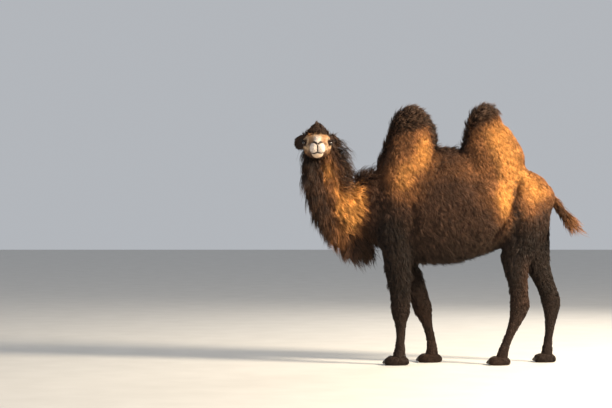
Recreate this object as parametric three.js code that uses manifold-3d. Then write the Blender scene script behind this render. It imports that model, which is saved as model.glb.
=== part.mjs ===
// A life-size Bactrian camel, standing, with its head turned to its left.
//
// Millimetres, +Z up. The camel faces -X and its left side faces -Y. It is drawn first in its own
// working frame, whose Y = 0 is the middle plane of the trunk, and the finished group is then moved
// so that the origin is the centre of its bounding box at floor level.
//
// Every part of the body is a loft: rings of given half-depths set across a path. Neighbours are
// kept apart by cutting each part with slightly larger copies of the parts it meets.

import * as THREE from "three";
import { mergeVertices } from "three/addons/utils/BufferGeometryUtils.js";
import Module from "manifold-3d";

const wasm = await Module();
wasm.setup();

// ---------------------------------------------------------------- driving dimensions

const GAP = 0.4; // clearance between neighbouring parts
const COARSE = { around: 10, down: 6 }; // facets of the small swellings
const TOE_DROP = 12; // how far a toe lobe reaches below the floor before the sole is cut flat

const HUMP_HEIGHT = 2160; // top of the hair on the humps
const HEAD_LENGTH = 535; // poll to nose
const HEAD_CENTRE = new THREE.Vector3(-1004, -62, 1815); // poll end of the eye line
const HEAD_YAW = -90; // degrees from straight ahead, so that the face looks to the camel's left
const EYE_RADIUS = 20;
const EYE_AT = [264, 102, 6]; // in the head's frame: forward, left, up

const FRONT_TRACK = 145; // half the distance between the forefeet
const HIND_TRACK = 150; // half the distance between the hind feet
const KNEE_CUT = 425; // height of the cut through the knees
const HOCK_CUT = 425; // height of the cut through the hocks
const FOOT_CUT = 82; // height of the cut above the feet
const NECK_CUT = { normal: [-0.6, 0, 0.8], offset: 1640 }; // plane between lower and upper neck

// ---------------------------------------------------------------- finishes

const finish = (color, roughness = 0.95) =>
  new THREE.MeshStandardMaterial({ color, roughness, metalness: 0 });

const MATERIALS = {
  coat: finish(0x5a3620),
  mane: finish(0x2b1c15),
  face: finish(0xb48a60),
  leg: finish(0x35241b),
  eye: finish(0x120d0a, 0.15),
  nail: finish(0x3b322c, 0.55),
};

// ---------------------------------------------------------------- lofts

/** Value of a smooth curve through values[i] at knots[i], by cubic Hermite spans. */
function smoothAt(knots, values, t) {
  let i = 0;
  while (i < knots.length - 2 && t > knots[i + 1]) i += 1;
  const slope = (k) => {
    const a = Math.max(k - 1, 0);
    const b = Math.min(k + 1, knots.length - 1);
    return (values[b] - values[a]) / (knots[b] - knots[a]);
  };
  const span = knots[i + 1] - knots[i];
  const u = (t - knots[i]) / span;
  const u2 = u * u;
  const u3 = u2 * u;
  return (
    (2 * u3 - 3 * u2 + 1) * values[i] +
    (u3 - 2 * u2 + u) * span * slope(i) +
    (3 * u2 - 2 * u3) * values[i + 1] +
    (u3 - u2) * span * slope(i + 1)
  );
}

/** Stations with `steps` smooth spans between each given pair. A station is a list of numbers
 *  whose first three are the ring's centre. */
function refine(stations, steps) {
  const knots = [0];
  for (let i = 1; i < stations.length; i += 1) {
    const [a, b] = [stations[i - 1], stations[i]];
    knots.push(knots[i - 1] + Math.hypot(b[0] - a[0], b[1] - a[1], b[2] - a[2]));
  }
  const columns = stations[0].map((_, k) => stations.map((s) => s[k]));
  const fine = [];
  for (let i = 0; i < stations.length - 1; i += 1) {
    for (let j = 0; j < steps; j += 1) {
      const t = knots[i] + ((knots[i + 1] - knots[i]) * j) / steps;
      fine.push(columns.map((values) => smoothAt(knots, values, t)));
    }
  }
  fine.push([...stations[stations.length - 1]]);
  return fine;
}

/** A closed body through stations [x, y, z, side, up, down]: half-depths to each side of the
 *  centre, to the up side and to the down side. `side` is the direction of the side half-depth,
 *  and side x path is up. squareUp and squareDown are the superellipse powers of the two halves. */
function loft(stations, { side, sides = 16, steps = 1, squareUp = 2, squareDown = 2, grow = 0 }) {
  const rings = refine(stations, steps);
  const centres = rings.map((r) => new THREE.Vector3(r[0], r[1], r[2]));
  const last = rings.length - 1;
  const along = centres.map((_, i) =>
    centres[Math.min(i + 1, last)].clone().sub(centres[Math.max(i - 1, 0)]).normalize(),
  );
  const positions = [];
  rings.forEach((ring, i) => {
    const across = new THREE.Vector3(...side);
    across.addScaledVector(along[i], -across.dot(along[i])).normalize();
    const up = across.clone().cross(along[i]);
    for (let k = 0; k < sides; k += 1) {
      const angle = (2 * Math.PI * (k + 0.5)) / sides;
      const [c, s] = [Math.cos(angle), Math.sin(angle)];
      const power = 2 / (s > 0 ? squareUp : squareDown);
      const reach = Math.max(ring[3], 1) + grow;
      const depth = Math.max(s > 0 ? ring[4] : ring[5], 1) + grow;
      const p = centres[i]
        .clone()
        .addScaledVector(across, reach * Math.sign(c) * Math.abs(c) ** power)
        .addScaledVector(up, depth * Math.sign(s) * Math.abs(s) ** power);
      positions.push(p.x, p.y, p.z);
    }
  });
  const first = centres[0].clone().addScaledVector(along[0], -grow);
  const end = centres[last].clone().addScaledVector(along[last], grow);
  positions.push(first.x, first.y, first.z, end.x, end.y, end.z);

  const index = [];
  for (let i = 0; i < last; i += 1) {
    for (let k = 0; k < sides; k += 1) {
      const [a, b] = [i * sides + k, i * sides + ((k + 1) % sides)];
      index.push(a, a + sides, b, b, a + sides, b + sides);
    }
  }
  const caps = rings.length * sides;
  for (let k = 0; k < sides; k += 1) {
    const next = (k + 1) % sides;
    index.push(caps, k, next, caps + 1, last * sides + next, last * sides + k);
  }
  const geometry = new THREE.BufferGeometry();
  geometry.setAttribute("position", new THREE.Float32BufferAttribute(positions, 3));
  geometry.setIndex(index);
  return geometry;
}

/** An ellipsoid with the given centre and half-axes. */
function ellipsoid(centre, radii, { grow = 0, around = 12, down = 7 } = {}) {
  const geometry = new THREE.SphereGeometry(1, around, down);
  geometry.scale(...radii.map((r) => r + grow));
  geometry.translate(...centre);
  return geometry;
}

// ---------------------------------------------------------------- solids

/** A manifold solid of a closed geometry, turned so that its faces point out. */
function solidOf(geometry) {
  const bare = geometry.clone();
  bare.deleteAttribute("normal");
  bare.deleteAttribute("uv");
  const merged = mergeVertices(bare, 1e-3);
  const vertProperties = merged.attributes.position.array;
  const triVerts = new Uint32Array(merged.index.array);
  const build = () => new wasm.Manifold(new wasm.Mesh({ numProp: 3, vertProperties, triVerts }));
  const made = build();
  if (made.volume() > 0) return made;
  for (let i = 0; i < triVerts.length; i += 3) {
    [triVerts[i + 1], triVerts[i + 2]] = [triVerts[i + 2], triVerts[i + 1]];
  }
  return build();
}

/** The union of several solids. */
const joined = (...solids) => solids.reduce((a, b) => a.add(b));

/** A solid with each of the others cut away. */
const cutBy = (solid, ...others) => others.reduce((a, b) => a.subtract(b), solid);

/** The largest of a solid's separate bodies, so that no crumb is left by a cut. */
function mainBody(solid) {
  return solid.decompose().reduce((a, b) => (a.volume() > b.volume() ? a : b));
}

/** The two sides of a plane, GAP apart: [the side that the normal points to, the other side]. */
function halves(solid, normal, offset) {
  const reversed = normal.map((n) => -n);
  return [
    solid.trimByPlane(normal, offset + GAP / 2),
    solid.trimByPlane(reversed, -offset + GAP / 2),
  ];
}

const camel = new THREE.Group();

/** Adds a solid to the camel as a named mesh. */
function place(name, solid, material) {
  const tidy = mainBody(solid).asOriginal().simplify(GAP / 3);
  const { numProp, numVert, vertProperties, triVerts } = tidy.getMesh();
  const positions = new Float32Array(numVert * 3);
  for (let i = 0; i < numVert; i += 1) {
    positions.set(vertProperties.subarray(i * numProp, i * numProp + 3), i * 3);
  }
  const geometry = new THREE.BufferGeometry();
  geometry.setAttribute("position", new THREE.BufferAttribute(positions, 3));
  geometry.setIndex(new THREE.BufferAttribute(triVerts, 1));
  geometry.computeVertexNormals();
  const mesh = new THREE.Mesh(geometry, MATERIALS[material]);
  mesh.name = name;
  camel.add(mesh);
}

/** Calls make(grow) for the part itself and for the larger copy that its neighbours are cut by. */
const withCutter = (make) => ({ body: make(0), cutter: make(GAP) });

// ---------------------------------------------------------------- trunk and humps

// [x, y, z, half width, height above z, depth below z], chest to rump.
const TRUNK = [
  [-625, 0, 1290, 90, 130, 130],
  [-570, 0, 1285, 165, 260, 225],
  [-440, 0, 1270, 222, 370, 310],
  [-260, 0, 1250, 268, 450, 390],
  [-60, 0, 1240, 305, 545, 418],
  [140, 0, 1240, 325, 553, 400],
  [340, 0, 1250, 322, 480, 365],
  [520, 0, 1270, 298, 410, 315],
  [680, 0, 1285, 268, 365, 285],
  [800, 0, 1290, 228, 300, 265],
  [885, 0, 1280, 172, 205, 225],
  [930, 0, 1265, 90, 105, 130],
];

// [x, y, z, half width, half depth to the front, half depth to the rear], base to tip.
const HUMP_FRONT = [
  [-245, 0, 1480, 235, 300, 310],
  [-245, 0, 1620, 215, 282, 275],
  [-245, 0, 1720, 185, 225, 235],
  [-235, 0, 1820, 158, 197, 222],
  [-225, 0, 1920, 134, 184, 200],
  [-225, 0, 2010, 112, 168, 160],
  [-230, 0, 2080, 85, 132, 116],
  [-237, 0, 2130, 54, 80, 74],
  [-240, 0, HUMP_HEIGHT, 16, 24, 22],
];
const HUMP_REAR = [
  [450, 0, 1480, 235, 310, 300],
  [448, 0, 1620, 222, 305, 286],
  [440, 0, 1720, 200, 282, 283],
  [430, 0, 1800, 178, 253, 250],
  [415, 0, 1880, 155, 215, 212],
  [400, 0, 1960, 132, 183, 170],
  [400, 0, 2030, 108, 160, 142],
  [412, 0, 2090, 84, 120, 122],
  [428, 0, 2135, 52, 70, 70],
  [432, 0, HUMP_HEIGHT + 3, 16, 22, 22],
];
// The planes under the dark hair on top of each hump.
const TUFT_FRONT_PLANE = { normal: [-0.2, 0, 0.98], offset: 1945 };
const TUFT_REAR_PLANE = { normal: [-0.22, 0, 0.975], offset: 1885 };

const trunk = withCutter((grow) =>
  solidOf(
    loft(TRUNK, { side: [0, -1, 0], sides: 20, squareUp: 1.75, squareDown: 2.25, grow }),
  ),
);
const hump = (stations) =>
  withCutter((grow) =>
    solidOf(loft(stations, { side: [0, -1, 0], sides: 16, squareUp: 2.1, squareDown: 2.1, grow })),
  );
const humps = { front: hump(HUMP_FRONT), rear: hump(HUMP_REAR) };

// ---------------------------------------------------------------- legs

// Joints from the top of the shoulder blade or the hip down to the sole: [x, y, z]. The left legs
// stand ahead of the right ones, as in a camel that has stopped in mid-pace.
const FORE_JOINTS = {
  left: [[-330, 105, 1470], [-385, 140, 1130], [-352, 158, 880], [-318, 148, 470], [-324, FRONT_TRACK, 120], [-338, FRONT_TRACK, 0]],
  right: [[-330, 105, 1470], [-385, 140, 1130], [-300, 158, 890], [-124, 148, 470], [-40, FRONT_TRACK, 120], [-46, FRONT_TRACK, 0]],
};
const HIND_JOINTS = {
  left: [[790, 95, 1440], [770, 130, 1200], [634, 150, 900], [655, 148, 490], [530, HIND_TRACK, 120], [505, HIND_TRACK, 0]],
  right: [[790, 95, 1440], [790, 130, 1200], [815, 150, 910], [948, 148, 510], [926, HIND_TRACK, 120], [918, HIND_TRACK, 0]],
};

// [joint index, half width, half depth to the front, half depth to the rear].
const FORE_PROFILE = [
  [0, 50, 90, 90],
  [0.5, 88, 140, 140],
  [1, 104, 150, 165],
  [1.6, 100, 125, 146],
  [2, 92, 126, 134],
  [2.35, 82, 117, 114],
  [2.65, 74, 98, 98],
  [2.85, 70, 86, 90],
  [3, 68, 86, 88],
  [3.14, 60, 80, 74],
  [3.3, 48, 58, 57],
  [3.5, 42, 46, 46],
  [3.75, 40, 43, 43],
  [4, 47, 52, 50],
  [4.4, 58, 60, 56],
  [4.7, 60, 62, 60],
];
const HIND_PROFILE = [
  [0, 55, 120, 100],
  [0.5, 95, 175, 130],
  [1, 122, 195, 158],
  [1.5, 122, 172, 160],
  [2, 106, 128, 142],
  [2.35, 88, 100, 108],
  [2.65, 72, 86, 88],
  [2.88, 62, 84, 90],
  [3, 58, 80, 98],
  [3.15, 52, 70, 84],
  [3.35, 44, 54, 60],
  [3.6, 38, 43, 45],
  [3.85, 39, 42, 42],
  [4, 45, 50, 48],
  [4.4, 52, 56, 52],
  [4.7, 54, 58, 56],
];

/** A leg's loft stations: the profile's rings set along a smooth curve through the joints. */
function legStations(joints, profile, mirror) {
  const curve = new THREE.CatmullRomCurve3(
    joints.map(([x, y, z]) => new THREE.Vector3(x, y * mirror, z)),
    false,
    "centripetal",
  );
  return profile.map(([at, ...halfDepths]) => {
    const p = curve.getPoint(at / (joints.length - 1));
    return [p.x, p.y, p.z, ...halfDepths];
  });
}

/** A camel's foot: two toe lobes and a heel pad on the floor, length in front of the ankle x. */
function footSolid([x, y], length, width, grow) {
  const toe = (sideways) =>
    ellipsoid(
      [x - 0.2 * length, y + sideways * width * 0.235, 24],
      [length * 0.42, width * 0.285, 24 + TOE_DROP + 18],
      { grow, ...COARSE },
    );
  const heel = ellipsoid(
    [x + 0.12 * length, y, 26],
    [length * 0.36, width * 0.44, 26 + TOE_DROP + 14],
    { grow, ...COARSE },
  );
  return joined(solidOf(toe(-1)), solidOf(toe(1)), solidOf(heel));
}

/** One leg with its foot, uncut at the joints, and flat on the floor. */
function legSolid(joints, profile, mirror, foot, grow) {
  const stations = legStations(joints, profile, mirror);
  const limb = solidOf(loft(stations, { side: [0, 1, 0], sides: 12, grow }));
  const ankle = joints[joints.length - 1];
  const pad = footSolid([ankle[0], ankle[1] * mirror], foot.length, foot.width, grow);
  return limb.add(pad).trimByPlane([0, 0, 1], -grow);
}

const FORE_FOOT = { length: 185, width: 165 };
const HIND_FOOT = { length: 165, width: 145 };

const LEGS = [
  ["left", "fore", -1, FORE_JOINTS.left, FORE_PROFILE, FORE_FOOT, KNEE_CUT],
  ["right", "fore", 1, FORE_JOINTS.right, FORE_PROFILE, FORE_FOOT, KNEE_CUT],
  ["left", "hind", -1, HIND_JOINTS.left, HIND_PROFILE, HIND_FOOT, HOCK_CUT],
  ["right", "hind", 1, HIND_JOINTS.right, HIND_PROFILE, HIND_FOOT, HOCK_CUT],
].map(([flank, pair, mirror, joints, profile, foot, middleCut]) => ({
  name: `${pair}leg_${flank}`,
  mirror,
  joints,
  foot,
  middleCut,
  ...withCutter((grow) => legSolid(joints, profile, mirror, foot, grow)),
}));

/** The two horny nails at the front of a foot, one on each toe. */
function placeNails({ name, mirror, joints, foot, cutter }) {
  const ankle = joints[joints.length - 1];
  ["inner", "outer"].forEach((label, i) => {
    const sideways = (i === 0 ? -1 : 1) * mirror;
    const tip = [ankle[0] - 0.585 * foot.length, ankle[1] * mirror + sideways * foot.width * 0.22, 27];
    const nail = solidOf(ellipsoid(tip, [20, 15, 16], { around: 8, down: 4 }));
    place(`nail_${name}_${label}`, cutBy(nail, cutter).trimByPlane([0, 0, 1], 8), "nail");
  });
}

/** Upper leg, lower leg, foot and nails of one leg as separate nodes. */
function placeLeg(leg) {
  const [upper, shin] = halves(leg.body, [0, 0, 1], leg.middleCut);
  const [lower, foot] = halves(shin, [0, 0, 1], FOOT_CUT);
  place(`${leg.name}_upper`, upper, "leg");
  place(`${leg.name}_lower`, lower, "leg");
  place(`${leg.name}_foot`, foot, "leg");
  placeNails(leg);
}

// ---------------------------------------------------------------- neck and its hair

// [x, y, z, half width, depth to the crest, depth to the throat], shoulders to head.
const NECK = [
  [-470, 0, 1330, 150, 230, 260],
  [-590, 0, 1280, 160, 232, 235],
  [-715, -8, 1265, 150, 195, 210],
  [-820, -20, 1310, 136, 170, 172],
  [-888, -36, 1400, 124, 158, 142],
  [-930, -54, 1520, 114, 160, 126],
  [-950, -74, 1640, 108, 150, 114],
  [-966, -92, 1740, 104, 134, 104],
  [-978, -100, 1800, 90, 104, 88],
  [-984, -104, 1840, 50, 54, 50],
];

// The beard of long hair under the throat, from jaw to chest: [x, y, z, half width, outer, inner].
const THROAT_MANE = [
  [-1062, -150, 1756, 56, 32, 40],
  [-1066, -140, 1690, 84, 48, 60],
  [-1062, -112, 1560, 104, 62, 84],
  [-1040, -80, 1410, 116, 76, 110],
  [-985, -50, 1270, 122, 94, 130],
  [-895, -24, 1140, 120, 112, 140],
  [-790, -10, 1030, 112, 128, 150],
  [-700, 0, 965, 100, 132, 150],
  [-620, 0, 940, 82, 122, 130],
  [-560, 0, 950, 62, 104, 100],
  [-520, 0, 985, 30, 60, 60],
];

// The upright hair along the crest, from the poll to the withers.
const CREST_MANE = [
  [-930, -62, 1925, 52, 50, 24],
  [-880, -66, 1890, 74, 110, 40],
  [-836, -66, 1815, 82, 140, 62],
  [-806, -58, 1710, 82, 160, 66],
  [-778, -46, 1620, 80, 160, 70],
  [-712, -26, 1540, 78, 140, 48],
  [-640, -8, 1535, 72, 140, 56],
  [-570, 0, 1560, 62, 140, 62],
  [-520, 0, 1590, 40, 90, 50],
];

const neck = withCutter((grow) => solidOf(loft(NECK, { side: [0, 1, 0], sides: 16, grow })));
const throatMane = solidOf(
  loft(THROAT_MANE, { side: [0, 1, 0], sides: 12, squareUp: 2.2, squareDown: 1.8 }),
);
const crestMane = solidOf(loft(CREST_MANE, { side: [0, 1, 0], sides: 10, squareUp: 1.9 }));

// ---------------------------------------------------------------- head

const headFrame = new THREE.Matrix4().compose(
  HEAD_CENTRE,
  new THREE.Quaternion().setFromAxisAngle(
    new THREE.Vector3(0, 0, 1),
    THREE.MathUtils.degToRad(180 + HEAD_YAW + 180),
  ),
  new THREE.Vector3(1, 1, 1),
);

/** A solid drawn in the head's frame (+X to the nose, +Y to the left, +Z up), set in place. */
const headSolid = (geometry) => solidOf(geometry.clone().applyMatrix4(headFrame));

// [forward, left, up, half width, height above, depth below], poll to nose.
const SKULL = [
  [-25, 0, 12, 40, 30, 40],
  [5, 0, 12, 82, 70, 88],
  [60, 0, 9, 104, 92, 122],
  [130, 0, 5, 112, 99, 134],
  [200, 0, 0, 117, 101, 126],
  [262, 0, -3, 111, 93, 117],
  [320, 0, -9, 88, 77, 108],
  [380, 0, -18, 69, 65, 97],
  [440, 0, -27, 63, 61, 88],
  [485, 0, -35, 66, 60, 84],
  [515, 0, -41, 61, 52, 72],
  [HEAD_LENGTH - 5, 0, -46, 44, 34, 50],
  [HEAD_LENGTH + 3, 0, -49, 14, 10, 16],
];
const MOUTH_BACK = 335; // forward distance of the corner of the mouth
const MOUTH_Z = -76; // height of the lip line at the front, below the eye line

/** The space of the lower jaw: a wedge under the lip line that runs back under the cheek. */
function jawWedge(grow) {
  const outline = new THREE.Shape();
  outline.moveTo(HEAD_LENGTH + 40, MOUTH_Z - 2 + grow);
  outline.lineTo(440, MOUTH_Z + 2 + grow);
  outline.lineTo(MOUTH_BACK - grow, MOUTH_Z + 8 + grow);
  outline.lineTo(225 - grow, -96 + grow);
  outline.lineTo(120 - grow, -160);
  outline.lineTo(HEAD_LENGTH + 40, -160);
  const wedge = new THREE.ExtrudeGeometry(outline, { depth: 300, bevelEnabled: false });
  wedge.rotateX(Math.PI / 2); // the outline's second axis becomes +Z and the depth runs along -Y
  wedge.translate(0, 150, 0);
  return headSolid(wedge);
}

/** Skull, brows, cheeks, lips and chin as one solid. */
function skullSolid(grow) {
  const pairs = [
    [[240, 88, 36], [58, 34, 26]], // brow over the eye
    [[160, 74, -38], [104, 46, 70]], // cheek
    [[488, 32, -36], [44, 42, 44]], // half of the split upper lip
    [[300, 64, -22], [60, 28, 24]], // cheekbone below the eye
  ];
  const skull = headSolid(
    loft(SKULL, { side: [0, -1, 0], sides: 16, squareUp: 2.1, squareDown: 2.3, grow }),
  );
  const chin = headSolid(ellipsoid([478, 0, -88], [44, 44, 30], { grow, ...COARSE }));
  const bulges = pairs.flatMap(([[x, y, z], radii]) =>
    [-1, 1].map((flank) => headSolid(ellipsoid([x, y * flank, z], radii, { grow, ...COARSE }))),
  );
  return joined(skull, chin, ...bulges);
}

const eyes = Object.fromEntries(
  [["left", 1], ["right", -1]].map(([flank, mirror]) => {
    const at = [EYE_AT[0], EYE_AT[1] * mirror, EYE_AT[2]];
    const ball = (grow) => headSolid(ellipsoid(at, [EYE_RADIUS, EYE_RADIUS, EYE_RADIUS], { grow, ...COARSE }));
    return [flank, withCutter(ball)];
  }),
);

// A small, broad, hairy ear, from its root to its tip: [forward, left, up, half height, back, front].
const EAR = [
  [78, 62, 40, 34, 22, 22],
  [66, 95, 33, 46, 24, 24],
  [52, 126, 20, 56, 24, 22],
  [38, 155, 5, 48, 20, 16],
  [28, 176, -7, 28, 12, 10],
  [24, 187, -12, 10, 5, 4],
];

const ears = Object.fromEntries(
  [["left", 1], ["right", -1]].map(([flank, mirror]) => {
    const stations = EAR.map(([x, y, z, ...depths]) => [x, y * mirror, z, ...depths]);
    const leaf = (grow) =>
      headSolid(loft(stations, { side: [0, 0, 1], sides: 10, grow }));
    return [flank, withCutter(leaf)];
  }),
);

// The pointed tuft of hair over the crown: [forward, left, up, half width, front, back].
const TOPKNOT = [
  [120, 0, 55, 108, 80, 90],
  [122, 0, 95, 112, 84, 95],
  [126, 0, 125, 82, 72, 82],
  [126, 0, 155, 48, 50, 58],
  [122, 0, 178, 24, 26, 30],
  [120, 0, 190, 8, 9, 10],
];
const topknot = withCutter((grow) =>
  headSolid(loft(TOPKNOT, { side: [0, -1, 0], sides: 12, grow })),
);

const skull = withCutter(skullSolid);

// ---------------------------------------------------------------- tail

// [x, y, z, half width, upper, lower]: the dock and its tuft, swung out behind.
const TAIL = [
  [850, 0, 1450, 30, 30, 30],
  [905, 0, 1415, 31, 28, 30],
  [962, 0, 1350, 33, 30, 34],
  [1030, 0, 1258, 34, 34, 36],
  [1100, 0, 1172, 34, 34, 36],
  [1160, 0, 1108, 27, 28, 27],
  [1192, 0, 1080, 10, 11, 10],
];
const TAIL_CUT = { normal: [0.62, 0, -0.785], offset: -400 };
const tail = solidOf(loft(TAIL, { side: [0, -1, 0], sides: 10 }));

// ---------------------------------------------------------------- assembly

function placeHead() {
  const whole = cutBy(skull.body, eyes.left.cutter, eyes.right.cutter);
  place("head", cutBy(whole, jawWedge(GAP)), "face");
  place("lower_jaw", whole.intersect(jawWedge(0)), "face");
  for (const flank of ["left", "right"]) {
    place(`eye_${flank}`, eyes[flank].body, "eye");
    place(`ear_${flank}`, cutBy(ears[flank].body, skull.cutter), "mane");
  }
  place("topknot", cutBy(topknot.body, skull.cutter, ears.left.cutter, ears.right.cutter), "mane");
}

function placeNeck() {
  const hairCutters = [ears.left.cutter, ears.right.cutter, topknot.cutter];
  const flesh = cutBy(neck.body, skull.cutter, trunk.cutter, ...hairCutters);
  const [upper, lower] = halves(flesh, NECK_CUT.normal, NECK_CUT.offset);
  place("neck_upper", upper, "mane");
  place("neck_lower", lower, "coat");
  const bodyCutters = [neck, skull, trunk, humps.front, ...LEGS].map((part) => part.cutter);
  place("throat_mane", cutBy(throatMane, ...bodyCutters), "mane");
  place(
    "crest_mane",
    cutBy(crestMane, ...bodyCutters, ...hairCutters),
    "mane",
  );
}

function placeHumps() {
  const planes = { front: TUFT_FRONT_PLANE, rear: TUFT_REAR_PLANE };
  for (const [label, plane] of Object.entries(planes)) {
    const [tuft, flesh] = halves(humps[label].body, plane.normal, plane.offset);
    place(`hump_tuft_${label}`, cutBy(tuft, trunk.cutter), "mane");
    place(`hump_${label}`, cutBy(flesh, trunk.cutter), "coat");
  }
}

function placeTrunkAndTail() {
  place("trunk", cutBy(trunk.body, ...LEGS.map((leg) => leg.cutter)), "coat");
  const [tuft, dock] = halves(tail, TAIL_CUT.normal, TAIL_CUT.offset);
  place("tail", cutBy(dock, trunk.cutter), "coat");
  place("tail_tuft", cutBy(tuft, trunk.cutter), "mane");
}

placeTrunkAndTail();
placeHumps();
LEGS.forEach(placeLeg);
placeNeck();
placeHead();

// The origin is the centre of the bounding box, at floor level.
const bounds = new THREE.Box3().setFromObject(camel);
const middle = bounds.getCenter(new THREE.Vector3());
camel.position.set(-middle.x, -middle.y, 0);

export default camel;
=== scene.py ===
# %% [markdown]
# # A Bactrian camel, life size
#
# The real animal has a body of muscle and fat under one skin, and a winter coat whose length
# changes all over it: a beard and mane as long as a hand, shaggy wool on the body and humps, and
# plush short hair on the face and shins. It could be sculpted as one mesh, but we want every size
# to stay a number that can be changed. So the skin is built from lofts, which are rings carried
# along a path, then melted into one surface. The coat is then grown on it as thousands of small
# closed tufts. We work in the trunk's own frame, in millimetres: X from nose to tail, the trunk's
# middle plane at Y = 0, and the floor at Z = 0.

import bpy
import numpy as np
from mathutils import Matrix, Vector
from mathutils.kdtree import KDTree


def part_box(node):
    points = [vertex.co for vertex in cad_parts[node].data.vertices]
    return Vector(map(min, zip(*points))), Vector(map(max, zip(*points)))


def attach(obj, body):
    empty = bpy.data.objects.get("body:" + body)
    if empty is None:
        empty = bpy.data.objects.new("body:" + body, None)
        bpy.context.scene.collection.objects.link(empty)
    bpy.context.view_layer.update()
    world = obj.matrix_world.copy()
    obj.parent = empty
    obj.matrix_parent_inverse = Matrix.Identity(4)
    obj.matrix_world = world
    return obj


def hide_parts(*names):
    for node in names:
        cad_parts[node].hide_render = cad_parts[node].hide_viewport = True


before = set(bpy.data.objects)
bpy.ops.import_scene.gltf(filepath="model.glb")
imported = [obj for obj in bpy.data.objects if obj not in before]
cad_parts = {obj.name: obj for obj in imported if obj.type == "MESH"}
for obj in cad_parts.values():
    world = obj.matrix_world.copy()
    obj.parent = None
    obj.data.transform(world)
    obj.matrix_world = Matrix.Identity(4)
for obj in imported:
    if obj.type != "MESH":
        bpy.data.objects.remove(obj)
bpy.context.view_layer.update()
SEED = 20
rng = np.random.default_rng(SEED)

BETWEEN_EYES = np.array([-1004.0, -326.0, 1821.0])  # in the trunk's own frame
eye_corners = np.array([corner[:] for flank in ("left", "right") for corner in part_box(f"eye_{flank}")])
ORIGIN = (eye_corners.min(0) + eye_corners.max(0)) / 2 - BETWEEN_EYES / 1000
ORIGIN[2] = 0.0

# %% [markdown]
# ## Lofts
#
# A limb, a neck and a hump are all the same kind of shape: a ring that changes its size while it
# travels along a path. We give a few stations and draw a smooth curve through every column of
# the table, so that one function makes every part of the animal.

# %% Smooth curves through stations


def smooth_through(knots, rows, at):
    """Cubic Hermite curve through the rows at the knots. The slope at a knot is the change from
    the knot before it to the knot after it, over the distance between those two."""
    last = len(knots) - 1
    before = np.clip(np.arange(last + 1) - 1, 0, last)
    after = np.clip(np.arange(last + 1) + 1, 0, last)
    slopes = (rows[after] - rows[before]) / (knots[after] - knots[before])[:, None]
    i = np.clip(np.searchsorted(knots, at, side="right") - 1, 0, last - 1)
    span = (knots[i + 1] - knots[i])[:, None]
    u = (at - knots[i])[:, None] / span
    return (
        (2 * u**3 - 3 * u**2 + 1) * rows[i]
        + (u**3 - 2 * u**2 + u) * span * slopes[i]
        + (3 * u**2 - 2 * u**3) * rows[i + 1]
        + (u**3 - u**2) * span * slopes[i + 1]
    )


def unit(v):
    """Vectors scaled to length 1."""
    return v / np.maximum(np.linalg.norm(v, axis=-1, keepdims=True), 1e-9)


def refined(stations, rings):
    """That many stations along the path that the given ones follow, evenly spaced along the
    outline: each step's length is the root of the squares of how far the centre moves and how
    much the half-depths change."""
    rows = np.array(stations, float)
    knots = np.r_[0, np.cumsum(np.linalg.norm(np.diff(rows[:, :3], axis=0), axis=1))]
    fine = np.linspace(0, knots[-1], 20 * rings)
    steps = np.diff(smooth_through(knots, rows, fine)[:, :6], axis=0)
    steps[:, 3:] /= 3**0.5
    outline = np.r_[0, np.cumsum(np.linalg.norm(steps, axis=1))]
    at = np.interp(np.linspace(0, outline[-1], rings), outline, fine)
    return smooth_through(knots, rows, at)


def ring_axes(centres, side):
    """At each centre, the side axis made square to the path, the axis side x path, and the path's
    own direction."""
    path = unit(np.gradient(centres, axis=0))
    across = np.broadcast_to(np.array(side, float), path.shape)
    across = unit(across - (across * path).sum(1, keepdims=True) * path)
    return across, np.cross(across, path), path


def grid_triangles(rings, around):
    """Triangles of a tube of rings whose two ends are closed on a pole each. The poles are the
    last two points."""
    i, k = np.meshgrid(np.arange(rings - 1), np.arange(around), indexing="ij")
    a, b = i * around + k, i * around + (k + 1) % around
    quads = np.stack([a, a + around, b, b, a + around, b + around], -1).reshape(-1, 3)
    k = np.arange(around)
    n = (k + 1) % around
    pole = np.full(around, rings * around)
    top = (rings - 1) * around
    caps = np.concatenate([np.stack([pole, k, n], 1), np.stack([pole + 1, top + n, top + k], 1)])
    return np.concatenate([quads, caps])


def loft(stations, side, rings=48, around=40, power=(2.0, 2.0)):
    """Points and triangles of a closed body through stations [x, y, z, side, up, down, ...]: at
    angle a a ring reaches side * |cos a|^(2/p) across and up or down * |sin a|^(2/p) above or
    below its centre, a superellipse of power p."""
    fine = refined(stations, rings)
    across, above, _ = ring_axes(fine[:, :3], side)
    angle = 2 * np.pi * (np.arange(around) + 0.5) / around
    c, s = np.cos(angle), np.sin(angle)
    p = 2 / np.where(s > 0, power[0], power[1])
    reach = np.maximum(fine[:, 3:4], 1) * (np.sign(c) * np.abs(c) ** p)
    rise = np.where(s > 0, fine[:, 4:5], fine[:, 5:6]).clip(1) * (np.sign(s) * np.abs(s) ** p)
    rings_xyz = (
        fine[:, None, :3] + reach[..., None] * across[:, None] + rise[..., None] * above[:, None]
    )
    points = np.concatenate([rings_xyz.reshape(-1, 3), fine[[0, -1], :3]])
    return outward(points, grid_triangles(rings, around))


def outward(points, triangles):
    """The same shell with its triangles turned outwards: its signed volume is made positive."""
    a, b, c = (points[triangles[:, k]] for k in range(3))
    volume = (a * np.cross(b, c)).sum()
    return points, triangles if volume > 0 else triangles[:, ::-1]


def joined(*shells):
    """Several shells as one list of points and one of triangles."""
    starts = np.cumsum([0] + [len(points) for points, _ in shells])
    return (
        np.concatenate([points for points, _ in shells]),
        np.concatenate([tris + start for (_, tris), start in zip(shells, starts)]),
    )


# %% Meshes from arrays


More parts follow.
